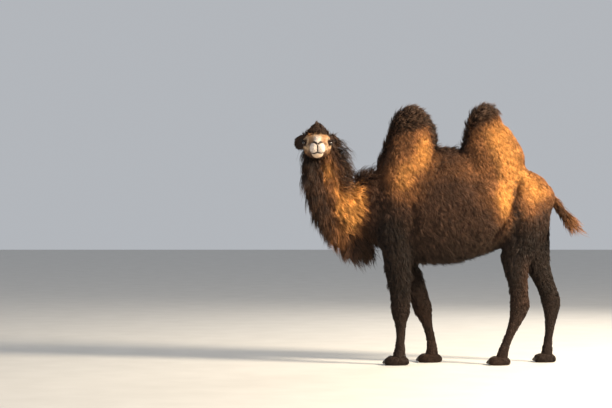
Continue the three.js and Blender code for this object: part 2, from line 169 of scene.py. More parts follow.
def mesh_object(name, points, triangles):
    """An object at the origin whose mesh has these points, in millimetres of the trunk's frame."""
    mesh = bpy.data.meshes.new(name)
    mesh.vertices.add(len(points))
    mesh.vertices.foreach_set("co", (points / 1000 + ORIGIN).astype(np.float32).ravel())
    mesh.loops.add(3 * len(triangles))
    mesh.loops.foreach_set("vertex_index", triangles.astype(np.int32).ravel())
    mesh.polygons.add(len(triangles))
    mesh.polygons.foreach_set("loop_start", np.arange(0, 3 * len(triangles), 3, dtype=np.int32))
    mesh.update(calc_edges=True)
    mesh.shade_smooth()
    obj = bpy.data.objects.new(name, mesh)
    bpy.context.scene.collection.objects.link(obj)
    return obj


def apply_modifiers(obj):
    """Replaces an object's mesh by what its modifiers make of it."""
    depsgraph = bpy.context.evaluated_depsgraph_get()
    made = bpy.data.meshes.new_from_object(obj.evaluated_get(depsgraph))
    obj.modifiers.clear()
    obj.data = made
    return obj


def arrays_of(obj):
    """An object's points, in millimetres of the trunk's frame, and its edges."""
    mesh = obj.data
    points = np.empty(3 * len(mesh.vertices), np.float32)
    mesh.vertices.foreach_get("co", points)
    edges = np.empty(2 * len(mesh.edges), np.int32)
    mesh.edges.foreach_get("vertices", edges)
    return (points.reshape(-1, 3).astype(float) - ORIGIN) * 1000, edges.reshape(-1, 2)


def triangles_of(obj):
    """An object's triangles as rows of three point numbers, and of three corner numbers."""
    mesh = obj.data
    mesh.calc_loop_triangles()
    count = len(mesh.loop_triangles)
    points, corners = np.empty(3 * count, np.int32), np.empty(3 * count, np.int32)
    mesh.loop_triangles.foreach_get("vertices", points)
    mesh.loop_triangles.foreach_get("loops", corners)
    return points.reshape(-1, 3), corners.reshape(-1, 3)


def set_points(obj, points):
    """Moves an object's points to these, in millimetres of the trunk's frame."""
    obj.data.vertices.foreach_set("co", (points / 1000 + ORIGIN).astype(np.float32).ravel())
    obj.data.update()


def relaxed(points, edges, amount, rounds):
    """Moves each point towards the mean of its neighbours by its own amount, that many times."""
    count = len(points)
    a, b = edges.T
    degree = np.maximum(np.bincount(edges.ravel(), minlength=count), 1)
    for _ in range(rounds):
        mean = np.stack(
            [
                np.bincount(a, points[b, k], count) + np.bincount(b, points[a, k], count)
                for k in range(3)
            ],
            1,
        )
        points = points + amount * (mean / degree[:, None] - points)
    return points


# %% [markdown]
# ## The body under the coat
#
# Each table holds a part of the body out to the tips of its hair, and its last column says how
# deep the coat is there, so the skin is the table minus that column. Humps are fat and stand like
# tall narrow loaves; the belly is deepest behind the elbows and tucked up before the thighs. The
# left legs stand ahead of the right ones, as in a camel that has stopped in mid-pace.

# %% Stations of the trunk, humps, neck and tail: x, y, z, side, up, down, coat
TRUNK = [
    [-620, 0, 1290, 90, 130, 130, 21],
    [-570, 0, 1285, 165, 258, 225, 21],
    [-440, 0, 1270, 222, 368, 310, 20],
    [-260, 0, 1250, 268, 450, 390, 19],
    [-60, 0, 1240, 305, 545, 404, 19],
    [140, 0, 1240, 325, 553, 388, 19],
    [340, 0, 1250, 322, 480, 346, 19],
    [520, 0, 1270, 298, 410, 298, 17],
    [680, 0, 1285, 268, 365, 285, 16],
    [800, 0, 1290, 228, 300, 265, 15],
    [885, 0, 1280, 172, 205, 225, 14],
    [928, 0, 1265, 90, 105, 130, 12],
]
HUMP_FRONT = [
    [-245, 0, 1480, 235, 300, 310, 20],
    [-245, 0, 1620, 215, 282, 275, 20],
    [-245, 0, 1720, 185, 232, 235, 20],
    [-235, 0, 1820, 158, 204, 222, 20],
    [-225, 0, 1920, 134, 188, 200, 24],
    [-225, 0, 2010, 112, 171, 158, 26],
    [-232, 0, 2065, 88, 140, 118, 25],
    [-240, 0, 2108, 62, 86, 80, 22],
]
HUMP_REAR = [
    [450, 0, 1480, 235, 310, 300, 20],
    [448, 0, 1620, 222, 305, 286, 19],
    [440, 0, 1720, 200, 282, 283, 19],
    [430, 0, 1800, 178, 253, 250, 19],
    [415, 0, 1880, 155, 215, 212, 21],
    [400, 0, 1960, 132, 183, 170, 25],
    [402, 0, 2030, 108, 158, 142, 29],
    [414, 0, 2080, 84, 120, 122, 29],
    [430, 0, 2115, 58, 76, 76, 26],
]
NECK = [
    [-440, 0, 1320, 175, 270, 280, 24],
    [-590, 0, 1280, 165, 268, 238, 24],
    [-715, -8, 1265, 152, 236, 212, 22],
    [-820, -20, 1310, 138, 188, 174, 22],
    [-888, -36, 1400, 126, 158, 144, 22],
    [-930, -54, 1520, 114, 152, 126, 22],
    [-950, -74, 1640, 106, 144, 114, 22],
    [-966, -92, 1740, 100, 128, 104, 21],
    [-978, -100, 1800, 88, 104, 88, 18],
    [-984, -104, 1840, 54, 58, 52, 12],
]
THROAT = [  # the fold of skin that carries the beard, well inside its hair: side, front, rear
    [-1050, -108, 1800, 64, 62, 50, 14],
    [-1054, -130, 1700, 80, 64, 54, 20],
    [-1050, -112, 1560, 90, 60, 74, 20],
    [-1024, -80, 1410, 96, 62, 92, 20],
    [-966, -50, 1278, 96, 72, 110, 20],
    [-880, -24, 1160, 94, 88, 120, 20],
    [-782, -10, 1070, 90, 102, 130, 20],
    [-690, 0, 1015, 84, 112, 130, 20],
    [-610, 0, 1000, 66, 98, 110, 20],
    [-560, 0, 1020, 36, 52, 60, 14],
]
TAIL = [
    [800, 0, 1462, 44, 42, 42, 12],
    [850, 0, 1448, 42, 40, 40, 12],
    [905, 0, 1415, 42, 40, 40, 12],
    [962, 0, 1350, 42, 38, 40, 12],
    [1030, 0, 1258, 42, 38, 40, 12],
    [1085, 0, 1190, 38, 36, 36, 12],
    [1120, 0, 1150, 24, 24, 24, 12],
]

# %% Joints and profiles of the legs
FORE_JOINTS = {
    "left": [[-330, 105, 1470], [-385, 140, 1130], [-352, 158, 880], [-318, 148, 470],
             [-324, 145, 120], [-338, 145, 0]],
    "right": [[-330, 105, 1470], [-385, 140, 1130], [-300, 158, 890], [-124, 148, 470],
              [-40, 145, 120], [-46, 145, 0]],
}
HIND_JOINTS = {
    "left": [[790, 95, 1440], [770, 130, 1200], [634, 150, 900], [655, 148, 490],
             [530, 150, 120], [505, 150, 0]],
    "right": [[790, 95, 1440], [790, 130, 1200], [815, 150, 910], [948, 148, 510],
              [926, 150, 120], [918, 150, 0]],
}
# joint number, side, front, rear, coat
FORE_PROFILE = [
    [0, 50, 90, 90, 20], [0.5, 92, 140, 140, 20], [1, 112, 155, 165, 20], [1.6, 106, 127, 146, 20],
    [2, 94, 126, 134, 20], [2.35, 82, 117, 114, 18], [2.65, 74, 98, 98, 16],
    [2.85, 70, 86, 90, 13], [3, 68, 86, 88, 11], [3.14, 60, 80, 74, 9], [3.3, 48, 58, 57, 7],
    [3.5, 42, 46, 46, 6], [3.75, 40, 43, 43, 6], [4, 47, 52, 50, 6], [4.4, 58, 60, 56, 6],
    [4.65, 60, 62, 60, 6],
]
HIND_PROFILE = [
    [0, 55, 120, 100, 18], [0.5, 100, 175, 130, 18], [1, 128, 195, 158, 18],
    [1.5, 126, 172, 160, 18], [2, 108, 142, 142, 16], [2.35, 88, 108, 108, 14],
    [2.65, 72, 86, 88, 12], [2.88, 62, 84, 90, 10], [3, 58, 80, 98, 9], [3.15, 52, 70, 84, 8],
    [3.35, 44, 54, 60, 7], [3.6, 38, 43, 45, 6], [3.85, 39, 42, 42, 6], [4, 45, 50, 48, 6],
    [4.4, 52, 56, 52, 6], [4.65, 54, 58, 56, 6],
]


def centripetal(points, at):
    """Catmull-Rom curve through the points, whose knots are spaced by the root of the distance
    between them, at positions counted in points."""
    points = np.array(points, float)
    points = np.concatenate([[2 * points[0] - points[1]], points, [2 * points[-1] - points[-2]]])
    i = np.minimum(np.floor(at).astype(int), len(points) - 4)
    w = (at - i)[:, None]
    p = [points[i + k] for k in range(4)]
    d = [np.linalg.norm(p[k + 1] - p[k], axis=1, keepdims=True) ** 0.5 for k in range(3)]
    t1 = (p[1] - p[0]) / d[0] - (p[2] - p[0]) / (d[0] + d[1]) + (p[2] - p[1]) / d[1]
    t2 = (p[2] - p[1]) / d[1] - (p[3] - p[1]) / (d[1] + d[2]) + (p[3] - p[2]) / d[2]
    t1, t2 = t1 * d[1], t2 * d[1]
    c2 = 3 * (p[2] - p[1]) - 2 * t1 - t2
    c3 = 2 * (p[1] - p[2]) + t1 + t2
    return p[1] + t1 * w + c2 * w**2 + c3 * w**3


def leg_stations(joints, profile, mirror):
    """A leg's rings set along the curve through its joints: x, y, z, side, up, down, coat. The
    path runs down and the side axis is +Y, so up is to the front."""
    table = np.array(profile, float)
    centres = centripetal(np.array(joints) * [1, mirror, 1], table[:, 0])
    return np.hstack([centres, table[:, 1:]])


LEGS = {
    f"{pair}leg_{flank}": leg_stations(joints[flank], profile, mirror)
    for pair, joints, profile in (
        ("fore", FORE_JOINTS, FORE_PROFILE),
        ("hind", HIND_JOINTS, HIND_PROFILE),
    )
    for flank, mirror in (("left", -1), ("right", 1))
}


def without_coat(stations):
    """Stations whose half-depths are taken in by the depth of the coat."""
    rows = np.array(stations, float)
    rows[:, 3:6] = np.maximum(rows[:, 3:6] - rows[:, 6:7], 4)
    return rows


# name: (stations, side axis, powers of the upper and lower halves, rings, points around)
BODY = {
    "trunk": (TRUNK, [0, -1, 0], (1.75, 2.25), 90, 90),
    "hump_front": (HUMP_FRONT, [0, -1, 0], (2.1, 2.1), 60, 60),
    "hump_rear": (HUMP_REAR, [0, -1, 0], (2.1, 2.1), 60, 60),
    "neck": (NECK, [0, 1, 0], (2.0, 2.0), 80, 60),
    "throat": (THROAT, [0, 1, 0], (2.0, 2.0), 70, 40),
    **{name: (rows, [0, 1, 0], (2.0, 2.0), 110, 40) for name, rows in LEGS.items()},
}
body_shells = [
    loft(without_coat(rows), side, rings, around, power)
    for rows, side, power, rings, around in BODY.values()
]
print("body lofts", len(body_shells), "points", sum(len(points) for points, _ in body_shells))

# %% [markdown]
# A voxel remesh melts the lofts into one watertight surface. It steps along a grid, so we relax it
# after that: each point moves towards the mean of its neighbours, more on the broad body, where
# the parts must flow into each other, and less on the thin shins, which would lose their girth.
# Muscles and hollows are soft swellings: a point is moved along its normal by
# height * exp(-distance squared), with the distance counted in the swelling's own radii.

# %% Soft swellings and grooves


def normals_of(points, triangles):
    """Each point's normal: the sum of its triangles' normals, which are as long as their areas."""
    a, b, c = (points[triangles[:, k]] for k in range(3))
    face = np.cross(b - a, c - a)
    total = np.stack(
        [
            sum(np.bincount(triangles[:, k], face[:, axis], len(points)) for k in range(3))
            for axis in range(3)
        ],
        1,
    )
    return unit(total)


def swollen(points, normals, swellings, mirror_axis):
    """Moves points along their normals by the sum of [x, y, z, rx, ry, rz, height] swellings,
    each of them on both sides of the plane where the mirror axis is 0."""
    move = np.zeros(len(points))
    for x, y, z, rx, ry, rz, height in swellings:
        for sign in (1, -1):
            centre = np.array([x, y, z], float)
            centre[mirror_axis] *= sign
            reach = (((points - centre) / [rx, ry, rz]) ** 2).sum(1)
            move += height * np.exp(-reach)
            if centre[mirror_axis] == 0:
                break
    return points + move[:, None] * normals


def distance_to_line(points, line):
    """Each point's distance to the nearest of a line's segments."""
    best = np.full(len(points), np.inf)
    line = np.array(line, float)
    for a, b in zip(line[:-1], line[1:]):
        along = np.clip(((points - a) @ (b - a)) / ((b - a) @ (b - a)), 0, 1)
        best = np.minimum(best, np.linalg.norm(points - a - along[:, None] * (b - a), axis=1))
    return best


def laid_on(line, surface, step=4.0):
    """The line cut into short steps, each of whose points is moved to the surface's nearest."""
    line = np.array(line, float)
    knots = np.r_[0, np.cumsum(np.linalg.norm(np.diff(line, axis=0), axis=1))]
    fine = smooth_through(knots, line, np.linspace(0, knots[-1], int(knots[-1] / step) + 2))
    away = np.linalg.norm(fine[:, None] - surface[None], axis=2)
    return surface[away.argmin(1)]


# %% Melt the body parts into one surface
BODY_VOXEL = 0.015  # metres
HOCKS, THIGHS = 450, 800  # between these heights the relaxing grows from the shins' to the body's
RELAX_SHINS, RELAX_MORE, RELAX_ROUNDS = 0.12, 0.4, 14
GROOVE_STEP = 25.0
# x, y, z, radii, height: left and right alike
MUSCLES = [
    [-395, 215, 1340, 70, 200, 190, 14],  # shoulder blade
    [-330, 230, 1100, 110, 200, 120, 12],  # upper arm
    [-205, 270, 1130, 45, 200, 190, -12],  # hollow behind the shoulder
    [420, 300, 1340, 180, 200, 190, 20],  # paunch
    [520, 290, 1400, 70, 200, 130, 12],  # its bulging rear edge
    [620, 270, 1180, 55, 200, 190, -16],  # hollow of the flank
    [700, 230, 1150, 110, 200, 190, 14],  # thigh
    [620, 250, 1420, 80, 200, 90, -10],  # before the hip bone
    [735, 190, 1500, 60, 120, 60, 10],  # hip bone
    [-560, 150, 1180, 60, 120, 90, 10],  # breast
]
BODY_GROOVES = [  # line, width, depth, on both sides
    ([[655, 250, 1530], [648, 260, 1460], [622, 280, 1360], [570, 290, 1240], [500, 280, 1110],
      [440, 250, 1010]], 26, 30),  # between the paunch and the thigh
    ([[575, 190, 1660], [650, 180, 1630], [760, 150, 1585]], 20, 9),  # under the rear hump
    ([[-235, 280, 1330], [-215, 290, 1200], [-240, 280, 1080]], 26, 10),  # behind the shoulder
    ([[-30, 210, 1600], [10, 150, 1690]], 26, 10),  # where the front hump ends
]
body = mesh_object("skin", *joined(*body_shells))
remesh = body.modifiers.new("melt", "REMESH")
remesh.mode = "VOXEL"
remesh.voxel_size = BODY_VOXEL
apply_modifiers(body)
points, edges = arrays_of(body)
above_hocks = np.clip((points[:, 2] - HOCKS) / (THIGHS - HOCKS), 0, 1)
amount = (RELAX_SHINS + RELAX_MORE * above_hocks)[:, None]
points = relaxed(points, edges, amount, RELAX_ROUNDS)
triangles, _ = triangles_of(body)
points = swollen(points, normals_of(points, triangles), MUSCLES, 1)
normals, grooved = normals_of(points, triangles), points.copy()
for line, width, depth in BODY_GROOVES:
    for sign in (1, -1):
        laid = laid_on(np.array(line) * [1, sign, 1], points, GROOVE_STEP)
        away = distance_to_line(points, laid)
        grooved = grooved - (depth * np.exp(-((away / width) ** 2)))[:, None] * normals
set_points(body, grooved)
print("body surface", len(points), "points", len(triangles), "triangles")

# %% [markdown]
# ## The head
#
# A camel's head is long and narrow: a flat brow, eyes set high and far apart, a slightly arched
# nose, slit nostrils that slant into the cleft of the upper lip, and a soft round chin. It needs
# far finer detail than the body, so it is its own fine loft, drawn in the head's own frame: X from
# poll to nose, Y to the animal's left, Z up, with 0 at the eyes' height. The mouth, nostrils and
# folds are grooves: a point is moved in by depth * exp(-(distance to the line / width) squared).

# %% The head's frame and its stations: x, y, z, side, up, down, coat
HEAD_CENTRE = np.array([-1004.0, -62.0, 1815.0])
SKULL = [
    [-22, 0, 8, 34, 28, 38, 6],
    [5, 0, 10, 82, 70, 88, 18],
    [60, 0, 8, 104, 92, 122, 20],
    [130, 0, 5, 112, 94, 132, 16],
    [200, 0, 0, 115, 90, 123, 9],
    [262, 0, -3, 108, 84, 112, 4],
    [320, 0, -9, 84, 70, 104, 3],
    [380, 0, -18, 65, 60, 95, 3],
    [440, 0, -27, 58, 56, 90, 2],
    [482, 0, -35, 59, 56, 88, 2],
    [508, 0, -41, 57, 52, 82, 2],
    [526, 0, -46, 46, 42, 66, 2],
    [536, 0, -49, 32, 28, 36, 2],
    [539, 0, -50, 5, 5, 5, 0],
]


def to_trunk(points):
    """Points of the head's frame in the trunk's: the nose points to -Y and the left is +X."""
    points = np.asarray(points, float)
    return HEAD_CENTRE + np.stack([points[..., 1], -points[..., 0], points[..., 2]], -1)


def to_head(points):
    """Points of the trunk's frame in the head's."""
    local = points - HEAD_CENTRE
    return np.stack([-local[..., 1], local[..., 0], local[..., 2]], -1)


# %% Swellings and grooves of the face
FACE = [
    [236, 82, 50, 46, 28, 22, 9],  # brow over the eye
    [266, 104, 6, 32, 30, 27, -9],  # socket
    [304, 72, -26, 60, 24, 20, 7],  # cheekbone
    [180, 92, -50, 70, 40, 56, 6],  # cheek
    [345, 68, 10, 50, 26, 24, -7],  # hollow before the eye
    [390, 0, 44, 70, 26, 30, 7],  # bridge of the nose
    [452, 52, 12, 44, 22, 20, -9],  # flank of the nose over the lips
    [340, 76, -70, 46, 30, 26, 4],  # corner of the mouth
    [500, 36, 14, 24, 14, 12, 6],  # rim over the nostril
    [518, 27, -48, 30, 22, 26, 9],  # half of the upper lip
    [478, 48, -46, 40, 24, 28, 5],  # side of the upper lip
    [500, 0, -100, 30, 34, 20, 8],  # lower lip and chin
    [420, 48, -80, 50, 24, 26, -4],  # behind the chin
    [130, 60, 80, 50, 30, 30, -5],  # temple
]
EYE_RADIUS = 20.0
EYE_AT = np.array([264.0, 102.0, 6.0])
MOUTH = [[330, 76, -64], [380, 64, -75], [430, 58, -81], [480, 56, -84], [508, 46, -85],
         [526, 26, -84], [532, 0, -80]]
LIP_EDGE = [[518, 34, -85], [532, 0, -81]]
NOSTRIL = [[493, 42, 12], [502, 37, 8], [514, 24, -2], [527, 7, -16]]
CLEFT = [[527, 7, -16], [534, 0, -26], [538, 0, -56], [536, 0, -80]]
CHEEK_FOLD = [[332, 74, -60], [318, 80, -74], [300, 84, -86]]


def circle_around_eye(radius, start, stop, count=14):
    """A line of points around the eye, at angles in degrees from the front, up and over."""
    angle = np.radians(np.linspace(start, stop, count))
    side = 97 - 0.25 * (radius - 30)
    return np.stack(
        [EYE_AT[0] + radius * np.cos(angle), np.full(count, side), EYE_AT[2] + radius * np.sin(angle)],
        1,
    )


GROOVES = [  # line, width, depth, on both sides
    (MOUTH, 3.6, 10, True),
    (NOSTRIL, 6.6, 24, True),
    (CLEFT, 3.2, 9, False),
    (CHEEK_FOLD, 5, 4, True),
    (circle_around_eye(33, 20, 165), 3.2, 3, True),
    (circle_around_eye(41, 200, 330), 3.2, 2.2, True),
    ([[350, 40, 28], [380, 46, 16], [410, 48, 2]], 5, 2.5, True),
]

head_points, head_triangles = loft(without_coat(SKULL), [0, -1, 0], 220, 190, (2.1, 2.3))
head_normals = normals_of(head_points, head_triangles)
head_points = swollen(head_points, head_normals, FACE, 1)
head_normals = normals_of(head_points, head_triangles)
smooth_head = head_points.copy()
for line, width, depth, both in GROOVES:
    for sign in (1, -1) if both else (1,):
        away = distance_to_line(smooth_head, laid_on(np.array(line) * [1, sign, 1], smooth_head))
        head_points = head_points - (depth * np.exp(-((away / width) ** 2)))[:, None] * head_normals
print("head", len(head_points), "points")

# %% [markdown]
# The lids are one thick soft ring around an almond opening. In a plane through the eye's middle
# the ring is a loop: out over the ball by LID_OUT and back inside it by LID_IN. Swept round the
# gaze, with the opening's half-angle changing from corner to brow, the loop closes on itself.

# %% Lids
GAZE = 40.0  # degrees forward of straight sideways
OPEN_WIDE, OPEN_UP, OPEN_DOWN = 66.0, 43.0, 38.0  # half-angles of the opening
LID_ROUND, LID_LOOP = 96, 28
LID_OUT, LID_IN = 5.2, 4.0  # how far the loop stands over and under the ball's surface
LID_BACK = np.radians(98)  # polar angle of the loop's hidden end


def eye_axes(mirror):
    """The gaze, the direction to the front corner of the eye, and up, in the head's frame."""
    gaze = np.array([np.sin(np.radians(GAZE)), mirror * np.cos(np.radians(GAZE)), 0.04])
    gaze = gaze / np.linalg.norm(gaze)
    up = np.array([0.0, 0.0, 1.0]) - gaze[2] * gaze
    up = up / np.linalg.norm(up)
    return gaze, np.cross(up, gaze) * -mirror, up


def eye_point(mirror, radius, polar, turn):
    """Points at a radius from the eye's centre, at a polar angle from the gaze and a turn about
    it, counted from the front corner over the top."""
    gaze, front, up = eye_axes(mirror)
    outwards = np.cos(turn)[..., None] * front + np.sin(turn)[..., None] * up
    direction = np.cos(polar)[..., None] * gaze + np.sin(polar)[..., None] * outwards
    return EYE_AT * [1, mirror, 1] + radius[..., None] * direction


def opening(turn):
    """Half-angle of the almond opening at a turn: an ellipse drawn out to points at its corners."""
    high = np.where(np.sin(turn) > 0, OPEN_UP, OPEN_DOWN)
    c, s = np.abs(np.cos(turn)), np.abs(np.sin(turn))
    return np.radians(1 / ((c / OPEN_WIDE) ** 1.55 + (s / high) ** 1.55) ** (1 / 1.55))


def lid_ring(mirror):
    """The closed ring of both lids."""
    turn, loop = np.meshgrid(
        2 * np.pi * np.arange(LID_ROUND) / LID_ROUND,
        2 * np.pi * np.arange(LID_LOOP) / LID_LOOP,
        indexing="ij",
    )
    edge = opening(turn)
    middle, half = (edge + LID_BACK) / 2, (LID_BACK - edge) / 2
    polar = middle - half * np.cos(loop)
    over = LID_OUT * np.sin(loop).clip(0) ** 0.6 * (1 + 0.25 * np.sin(turn))
    swell = np.where(np.sin(loop) > 0, over, LID_IN * np.sin(loop))
    ring = eye_point(mirror, EYE_RADIUS - 0.4 + swell, polar, turn)
    i, k = np.meshgrid(np.arange(LID_ROUND), np.arange(LID_LOOP), indexing="ij")
    i2, k2 = (i + 1) % LID_ROUND, (k + 1) % LID_LOOP
    a, b = i * LID_LOOP + k, i * LID_LOOP + k2
    c, d = i2 * LID_LOOP + k, i2 * LID_LOOP + k2
    tris = np.stack([a, c, b, b, c, d], -1).reshape(-1, 3)
    return outward(ring.reshape(-1, 3), tris)


# %% Ears and feet
EAR = [  # x, y, z, half height, back, front
    [84, 56, 42, 34, 22, 22, 0],
    [70, 90, 34, 48, 19, 19, 0],
    [56, 122, 20, 56, 15, 15, 0],
    [43, 150, 6, 52, 12, 12, 0],
    [33, 170, -4, 37, 9, 9, 0],
    [28, 181, -9, 16, 5, 5, 0],
]
TOPKNOT = [  # a mound of wool that rises to a peak: half widths across, behind, before
    [120, 0, 40, 106, 80, 92, 16],
    [122, 0, 78, 118, 84, 104, 22],
    [126, 0, 104, 96, 74, 90, 22],
    [126, 0, 130, 66, 54, 66, 20],
    [122, 0, 150, 40, 34, 40, 18],
    [120, 0, 163, 18, 16, 18, 12],
]
EAR_CUP = 20.0  # how far the ear's rims curl forward
EAR_CURL_START, EAR_CURL_LENGTH = 70, 40  # where the curl starts, and over what it grows
FORE_FOOT, HIND_FOOT = (185.0, 165.0), (165.0, 145.0)  # length, width


def ear_shell(mirror):
    """A leaf whose rims are curled forward by cup * (distance from its middle / half-height)^2."""
    rows = np.array(EAR) * [1, mirror, 1, 1, 1, 1, 1]
    points, tris = loft(rows, [0, 0, 1], 60, 44)
    order = np.argsort(np.abs(rows[:, 1]))
    side = np.abs(points[:, 1])
    middle = np.interp(side, np.abs(rows[order, 1]), rows[order, 2])
    half = np.interp(side, np.abs(rows[order, 1]), rows[order, 3])
    curl = np.clip((side - EAR_CURL_START) / EAR_CURL_LENGTH, 0, 1)
    points[:, 0] += EAR_CUP * curl * np.clip((points[:, 2] - middle) / half, -1, 1) ** 2
    return outward(points, tris)


def ellipsoid(centre, radii, around=44, rings=26):
    """A closed ellipsoid of latitude rings."""
    down = np.pi * (np.arange(rings) + 0.5) / rings
    turn = 2 * np.pi * np.arange(around) / around
    ring = np.stack(
        [
            np.sin(down)[:, None] * np.cos(turn),
            np.sin(down)[:, None] * np.sin(turn),
            np.broadcast_to(np.cos(down)[:, None], (rings, around)),
        ],
        -1,
    ).reshape(-1, 3)
    points = np.concatenate([ring, [[0, 0, 1], [0, 0, -1]]]) * radii + centre
    return outward(points, grid_triangles(rings, around))


def foot_shells(ankle, size):
    """Two toe lobes and a heel pad, all flat on the floor."""
    (x, y, _), (length, width) = ankle, size
    lobes = [
        ([x - 0.2 * length, y + side * 0.235 * width, 24], [0.42 * length, 0.285 * width, 50])
        for side in (-1, 1)
    ] + [([x + 0.12 * length, y, 26], [0.36 * length, 0.44 * width, 50])]
    shells = []
    for centre, radii in lobes:
        points, tris = ellipsoid(np.array(centre), np.array(radii) - [3, 3, 2])
        points[:, 2] = np.where(points[:, 2] < 0, 0.02 * points[:, 2], points[:, 2])
        shells.append((points, tris))
    return shells


# %% Join head, lids, ears and feet to the body
def united(obj, shells):
    """Joins closed shells to an object, so that nothing of them is left inside it."""
    for points, tris in shells:
        other = mesh_object("joining", points, tris)
        union = obj.modifiers.new("join", "BOOLEAN")
        union.operation, union.solver, union.object = "UNION", "MANIFOLD", other
        apply_modifiers(obj)
        bpy.data.objects.remove(other)
    return obj


face_shells = [lid_ring(mirror) for mirror in (1, -1)] + [ear_shell(mirror) for mirror in (1, -1)]
extra = [(to_trunk(points), tris) for points, tris in [(head_points, head_triangles), *face_shells]]
topknot_points, topknot_triangles = loft(without_coat(TOPKNOT), [0, -1, 0], 50, 64)
extra.append((to_trunk(topknot_points), topknot_triangles))
extra.append(loft(without_coat(TAIL), [0, -1, 0], 60, 32))
for name, joints, size in (
    ("fore", FORE_JOINTS, FORE_FOOT),
    ("hind", HIND_JOINTS, HIND_FOOT),
):
    for flank, mirror in (("left", -1), ("right", 1)):
        extra += foot_shells(np.array(joints[flank][-1]) * [1, mirror, 1], size)
skin = united(body, extra)
skin.data.shade_smooth()
print("skin", len(skin.data.vertices), "points", len(triangles_of(skin)[0]), "triangles")

# %% [markdown]
# ## Knowing where we are on the animal
#
# The coat's lie, depth and colour all change from part to part. For any point we look for the
# nearest ring of each part and read how far out the point is, counted in that ring's half-depths.
# Parts are then mixed by exp(-excess / softness), where the excess is how much further out the
# point is than on the part that holds it best, so nothing changes at a hard line.

# %% Rings of every part, and what the coat does there
EAR_COAT = 10.0


def in_trunk(rows, mirror=1, coat=0.0):
    """Stations of the head's frame carried to the trunk's, with some coat added."""
    rows = np.array(rows, float)
    return np.hstack([to_trunk(rows[:, :3] * [1, mirror, 1]), rows[:, 3:6], rows[:, 6:7] + coat])


# name: (stations, side axis, hair along the path, down, back)
LIE = {
    "trunk": (TRUNK, [0, -1, 0], 0.55, 0.75, 0.0),
    "hump_front": (HUMP_FRONT, [0, -1, 0], -0.75, 0.0, 0.32),
    "hump_rear": (HUMP_REAR, [0, -1, 0], -0.75, 0.0, 0.25),
    "neck": (NECK, [0, 1, 0], -0.75, 0.55, 0.1),
    "throat": (THROAT, [0, 1, 0], 0.5, 0.8, 0.0),
    "tail": (TAIL, [0, -1, 0], 1.0, 0.25, 0.0),
    **{name: (rows, [0, 1, 0], 1.0, 0.0, 0.12) for name, rows in LEGS.items()},
    "head": (in_trunk(SKULL), [-1, 0, 0], -0.8, 0.4, 0.0),
    "topknot": (in_trunk(TOPKNOT), [-1, 0, 0], 0.9, 0.0, 0.0),
    "ear_left": (in_trunk(EAR, 1, EAR_COAT), [0, 0, 1], 1.0, 0.0, 0.0),
    "ear_right": (in_trunk(EAR, -1, EAR_COAT), [0, 0, 1], 1.0, 0.0, 0.0),
}
PART_NAMES = list(LIE)
PART = {name: i for i, name in enumerate(PART_NAMES)}
PART_SOFTNESS = 0.16
EAR_SHARE = 5.0  # the ears stand in the topknot's wool, and keep their own short hair
FIELD_RINGS = 40


def part_fields(points):
    """For each point: the weight of each part, the lie of the hair as a unit vector, the depth of
    the coat in millimetres, and how far along its best part's path it is, from 0 to 1."""
    count = len(points)
    depth_out, lie = np.empty((count, len(LIE))), np.zeros((count, len(LIE), 3))
    coat, along = np.empty((count, len(LIE))), np.empty((count, len(LIE)))
    for i, (rows, side, with_path, down, back) in enumerate(LIE.values()):
        fine = refined(rows, FIELD_RINGS)
        across, above, path = ring_axes(fine[:, :3], side)
        size = fine[:, 3:6].mean(1).clip(12)
        for part in np.array_split(np.arange(count), max(1, count // 20000)):
            p = points[part]
            squares = (p**2).sum(1)[:, None] - 2 * p @ fine[:, :3].T + (fine[:, :3] ** 2).sum(1)
            k = (squares / size**2).argmin(1)
            offset = p - fine[k, :3]
            a = (offset * across[k]).sum(1) / fine[k, 3].clip(8)
            b = (offset * above[k]).sum(1)
            b = b / np.where(b > 0, fine[k, 4], fine[k, 5]).clip(8)
            c = (offset * path[k]).sum(1) / size[k]
            depth_out[part, i] = np.sqrt(a**2 + b**2 + np.maximum(np.abs(c) - 0.15, 0) ** 2)
            lie[part, i] = unit(with_path * path[k] + [back, 0, -down])
            coat[part, i], along[part, i] = fine[k, 6], k / (FIELD_RINGS - 1)
    best = depth_out.min(1, keepdims=True)
    weight = np.exp(-(depth_out - best) / PART_SOFTNESS)
    weight[:, [PART["ear_left"], PART["ear_right"]]] *= EAR_SHARE
    weight /= weight.sum(1, keepdims=True)
    direction = unit((weight[..., None] * lie).sum(1))
    best_part = depth_out.argmin(1)
    return weight, direction, (weight * coat).sum(1), along[np.arange(count), best_part]
